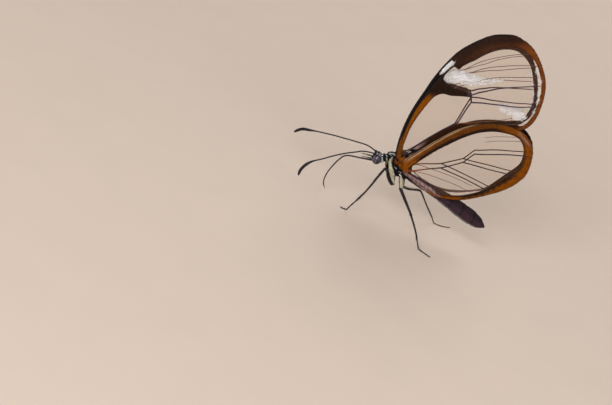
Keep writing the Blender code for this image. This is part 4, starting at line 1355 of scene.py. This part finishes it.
def wing_blades(name, form, sign, place, flat, tints, outer, length, width, lift, rng, spread):
    """Scales of one face of a wing, pointing away from its root."""
    direction = flat - form.root
    direction = direction / np.linalg.norm(direction, axis=1, keepdims=True)
    turn = rng.normal(0, spread, len(flat))
    turned = np.stack([direction[:, 0] * np.cos(turn) - direction[:, 1] * np.sin(turn),
                       direction[:, 0] * np.sin(turn) + direction[:, 1] * np.cos(turn)], axis=1)
    face = 1.0 if outer else -1.0
    half = sizes().band / 2
    roots = raise_points(form, sign, place, flat, face * half * 0.8)
    tips = raise_points(form, sign, place, flat + turned * 0.2, face * half * 0.8)
    out = np.tile((0.0, sign * face, 0.0), (len(flat), 1))
    return blades(name, roots, tips - roots, out, length, width, lift, 0.012, tints,
                  wing_unwrap(form, flat, outer))


class GLASSWING_OT_wing_scales(bpy.types.Operator):
    """Overlapping scales on both faces of the bands, with a ragged inner edge"""
    bl_idname = "glasswing.wing_scales"
    bl_label = "Wing scales"

    def execute(self, context):
        finish = scaled_finish("wing_scales", 0.55, 0.6, 0.85, 1.15)
        size = sizes()
        for seed, (node, form, sign, place, tint) in enumerate(WINGS):
            rng = np.random.default_rng(SCALE_SEED + seed)
            faces = []
            for outer in (True, False):
                flat = shingle_roots(form, size.scale_length * ROW_SHARE,
                                     size.scale_width * SCALE_SHARE, rng)
                edge = form.from_edge(flat)
                clear = form.from_windows(flat)
                window = form.in_windows(flat)
                ragged = rng.uniform(-0.12, 0.06, len(flat))
                keep = inside(flat, form.loop) & (edge > 0.06) & (~window | (clear < ragged))
                flat, edge = flat[keep], edge[keep]
                count = len(flat)
                tints = tint(flat, outer) * rng.uniform(0.72, 1.28, (count, 1))
                length = size.scale_length * rng.uniform(0.85, 1.15, count)
                length = np.minimum(length, np.maximum(0.14, edge + 0.12))
                faces.append(wing_blades(f"{node}_{'outer' if outer else 'inner'}", form, sign,
                                         place, flat, tints, outer, length,
                                         size.scale_width * rng.uniform(0.85, 1.15, count),
                                         0.035, rng, 0.12))
            coat = join(faces, f"{node}_scales")
            finish_piece(coat, finish)
        return {"FINISHED"}


class GLASSWING_OT_pale_scales(bpy.types.Operator):
    """Thin white scales that cloud parts of the clear fore wings"""
    bl_idname = "glasswing.pale_scales"
    bl_label = "White scales"

    def execute(self, context):
        finish = scaled_finish("white_scales", 0.5, 0.8, 0.93, 1.05, sheen=0.1)
        for seed, (node, form, sign, place, _) in enumerate(WINGS[:2]):
            rng = np.random.default_rng(WHITE_SEED + seed)
            faces = []
            for outer in (True, False):
                spots = []
                for x, z, half_length, half_width, turn, cover in FORE_PALE:
                    number = int(half_length * half_width * math.pi * cover * WHITE_DENSITY)
                    far = np.sqrt(rng.random(number)) ** 1.25
                    angle = rng.uniform(0, TURN, number)
                    a, b = far * np.cos(angle) * half_length, far * np.sin(angle) * half_width
                    c, s = math.cos(math.radians(turn)), math.sin(math.radians(turn))
                    spots.append(np.stack([x + a * c - b * s, z + a * s + b * c], axis=1))
                flat = np.concatenate(spots)
                flat = flat[form.in_windows(flat)]
                count = len(flat)
                tints = tone("white")[None] * rng.uniform(0.9, 1.05, (count, 1))
                faces.append(wing_blades(f"{node}_white", form, sign, place, flat, tints, outer,
                                         rng.uniform(0.3, 0.5, count),
                                         rng.uniform(0.028, 0.048, count), 0.02, rng, 0.22))
            coat = join(faces, f"{node}_white_scales")
            finish_piece(coat, finish)
        return {"FINISHED"}


class GLASSWING_OT_stage(bpy.types.Operator):
    """Pale floor, soft light and the camera of the photograph"""
    bl_idname = "glasswing.stage"
    bl_label = "Floor, light and camera"

    def execute(self, context):
        bpy.ops.object.select_all(action="DESELECT")
        bpy.ops.mesh.primitive_plane_add(size=4.0, location=(0.0, 0.0, 0.0))
        floor = bpy.context.object
        floor.name = "floor"
        floor.data.materials.append(floor_finish())
        world = bpy.data.worlds.new("soft_room")
        world.use_nodes = True
        set_sockets(world.node_tree.nodes["Background"], {"Color": ROOM_COLOUR,
                                                          "Strength": ROOM_STRENGTH})
        bpy.context.scene.world = world
        for name, place, size, power in LAMPS:
            bpy.ops.object.light_add(type="AREA", location=place)
            lamp = bpy.context.object
            lamp.name = name
            lamp.data.size = size
            lamp.data.energy = power
            aim = Vector(LAMP_AIM) - Vector(place)
            lamp.rotation_euler = aim.to_track_quat("-Z", "Y").to_euler()
        self.add_camera()
        bpy.context.scene.view_settings.view_transform = "Standard"
        return {"FINISHED"}

    def add_camera(self):
        turn, dip, roll = (math.radians(a) for a in (CAMERA_TURN, CAMERA_DIP, CAMERA_ROLL))
        ahead = Vector((math.sin(turn) * math.cos(dip), math.cos(turn) * math.cos(dip),
                        -math.sin(dip)))
        level = Vector((math.cos(turn), -math.sin(turn), 0.0))
        upright = level.cross(ahead)
        right = math.cos(roll) * level + math.sin(roll) * upright
        up = -math.sin(roll) * level + math.cos(roll) * upright
        across = (TARGET_PIXEL[0] - IMAGE_SIZE[0] / 2) / FOCAL_PIXELS
        down = (TARGET_PIXEL[1] - IMAGE_SIZE[1] / 2) / FOCAL_PIXELS
        place = -FOCAL_PIXELS * PIXEL * (ahead + right * across - up * down)
        bpy.ops.object.camera_add()
        camera = bpy.context.object
        camera.name = "camera"
        camera.data.sensor_width = 36.0
        camera.data.lens = FOCAL_PIXELS * camera.data.sensor_width / IMAGE_SIZE[0]
        camera.data.clip_start = 0.01
        camera.data.clip_end = 10.0
        turned = Matrix((right, up, -ahead)).transposed().to_4x4()
        camera.matrix_world = Matrix.Translation(ORIGIN + place * MM) @ turned
        bpy.context.scene.camera = camera


class GLASSWING_PT_panel(bpy.types.Panel):
    bl_label = "Glasswing butterfly"
    bl_idname = "GLASSWING_PT_panel"
    bl_space_type = "VIEW_3D"
    bl_region_type = "UI"
    bl_category = "Glasswing"

    def draw(self, context):
        for operator in OPERATORS:
            self.layout.operator(operator.bl_idname)
        for group in (context.scene.glasswing_sizes, context.scene.glasswing_colours):
            for name in group.__annotations__:
                self.layout.prop(group, name)


OPERATORS = (GLASSWING_OT_stage, GLASSWING_OT_body, GLASSWING_OT_body_coat, GLASSWING_OT_eyes,
             GLASSWING_OT_mouthparts, GLASSWING_OT_antennae, GLASSWING_OT_legs,
             GLASSWING_OT_wings, GLASSWING_OT_veins, GLASSWING_OT_wing_scales,
             GLASSWING_OT_pale_scales)
CLASSES = (GlasswingSizes, GlasswingColours, *OPERATORS, GLASSWING_PT_panel)


def register():
    for cls in CLASSES:
        bpy.utils.register_class(cls)
    bpy.types.Scene.glasswing_sizes = PointerProperty(type=GlasswingSizes)
    bpy.types.Scene.glasswing_colours = PointerProperty(type=GlasswingColours)


def unregister():
    del bpy.types.Scene.glasswing_sizes
    del bpy.types.Scene.glasswing_colours
    for cls in reversed(CLASSES):
        bpy.utils.unregister_class(cls)


def main():
    register()
    bpy.ops.glasswing.stage()
    bpy.ops.glasswing.body()
    bpy.ops.glasswing.body_coat()
    bpy.ops.glasswing.eyes()
    bpy.ops.glasswing.mouthparts()
    bpy.ops.glasswing.antennae()
    bpy.ops.glasswing.legs()
    bpy.ops.glasswing.wings()
    bpy.ops.glasswing.veins()
    bpy.ops.glasswing.wing_scales()
    bpy.ops.glasswing.pale_scales()


if __name__ == "__main__":
    main()
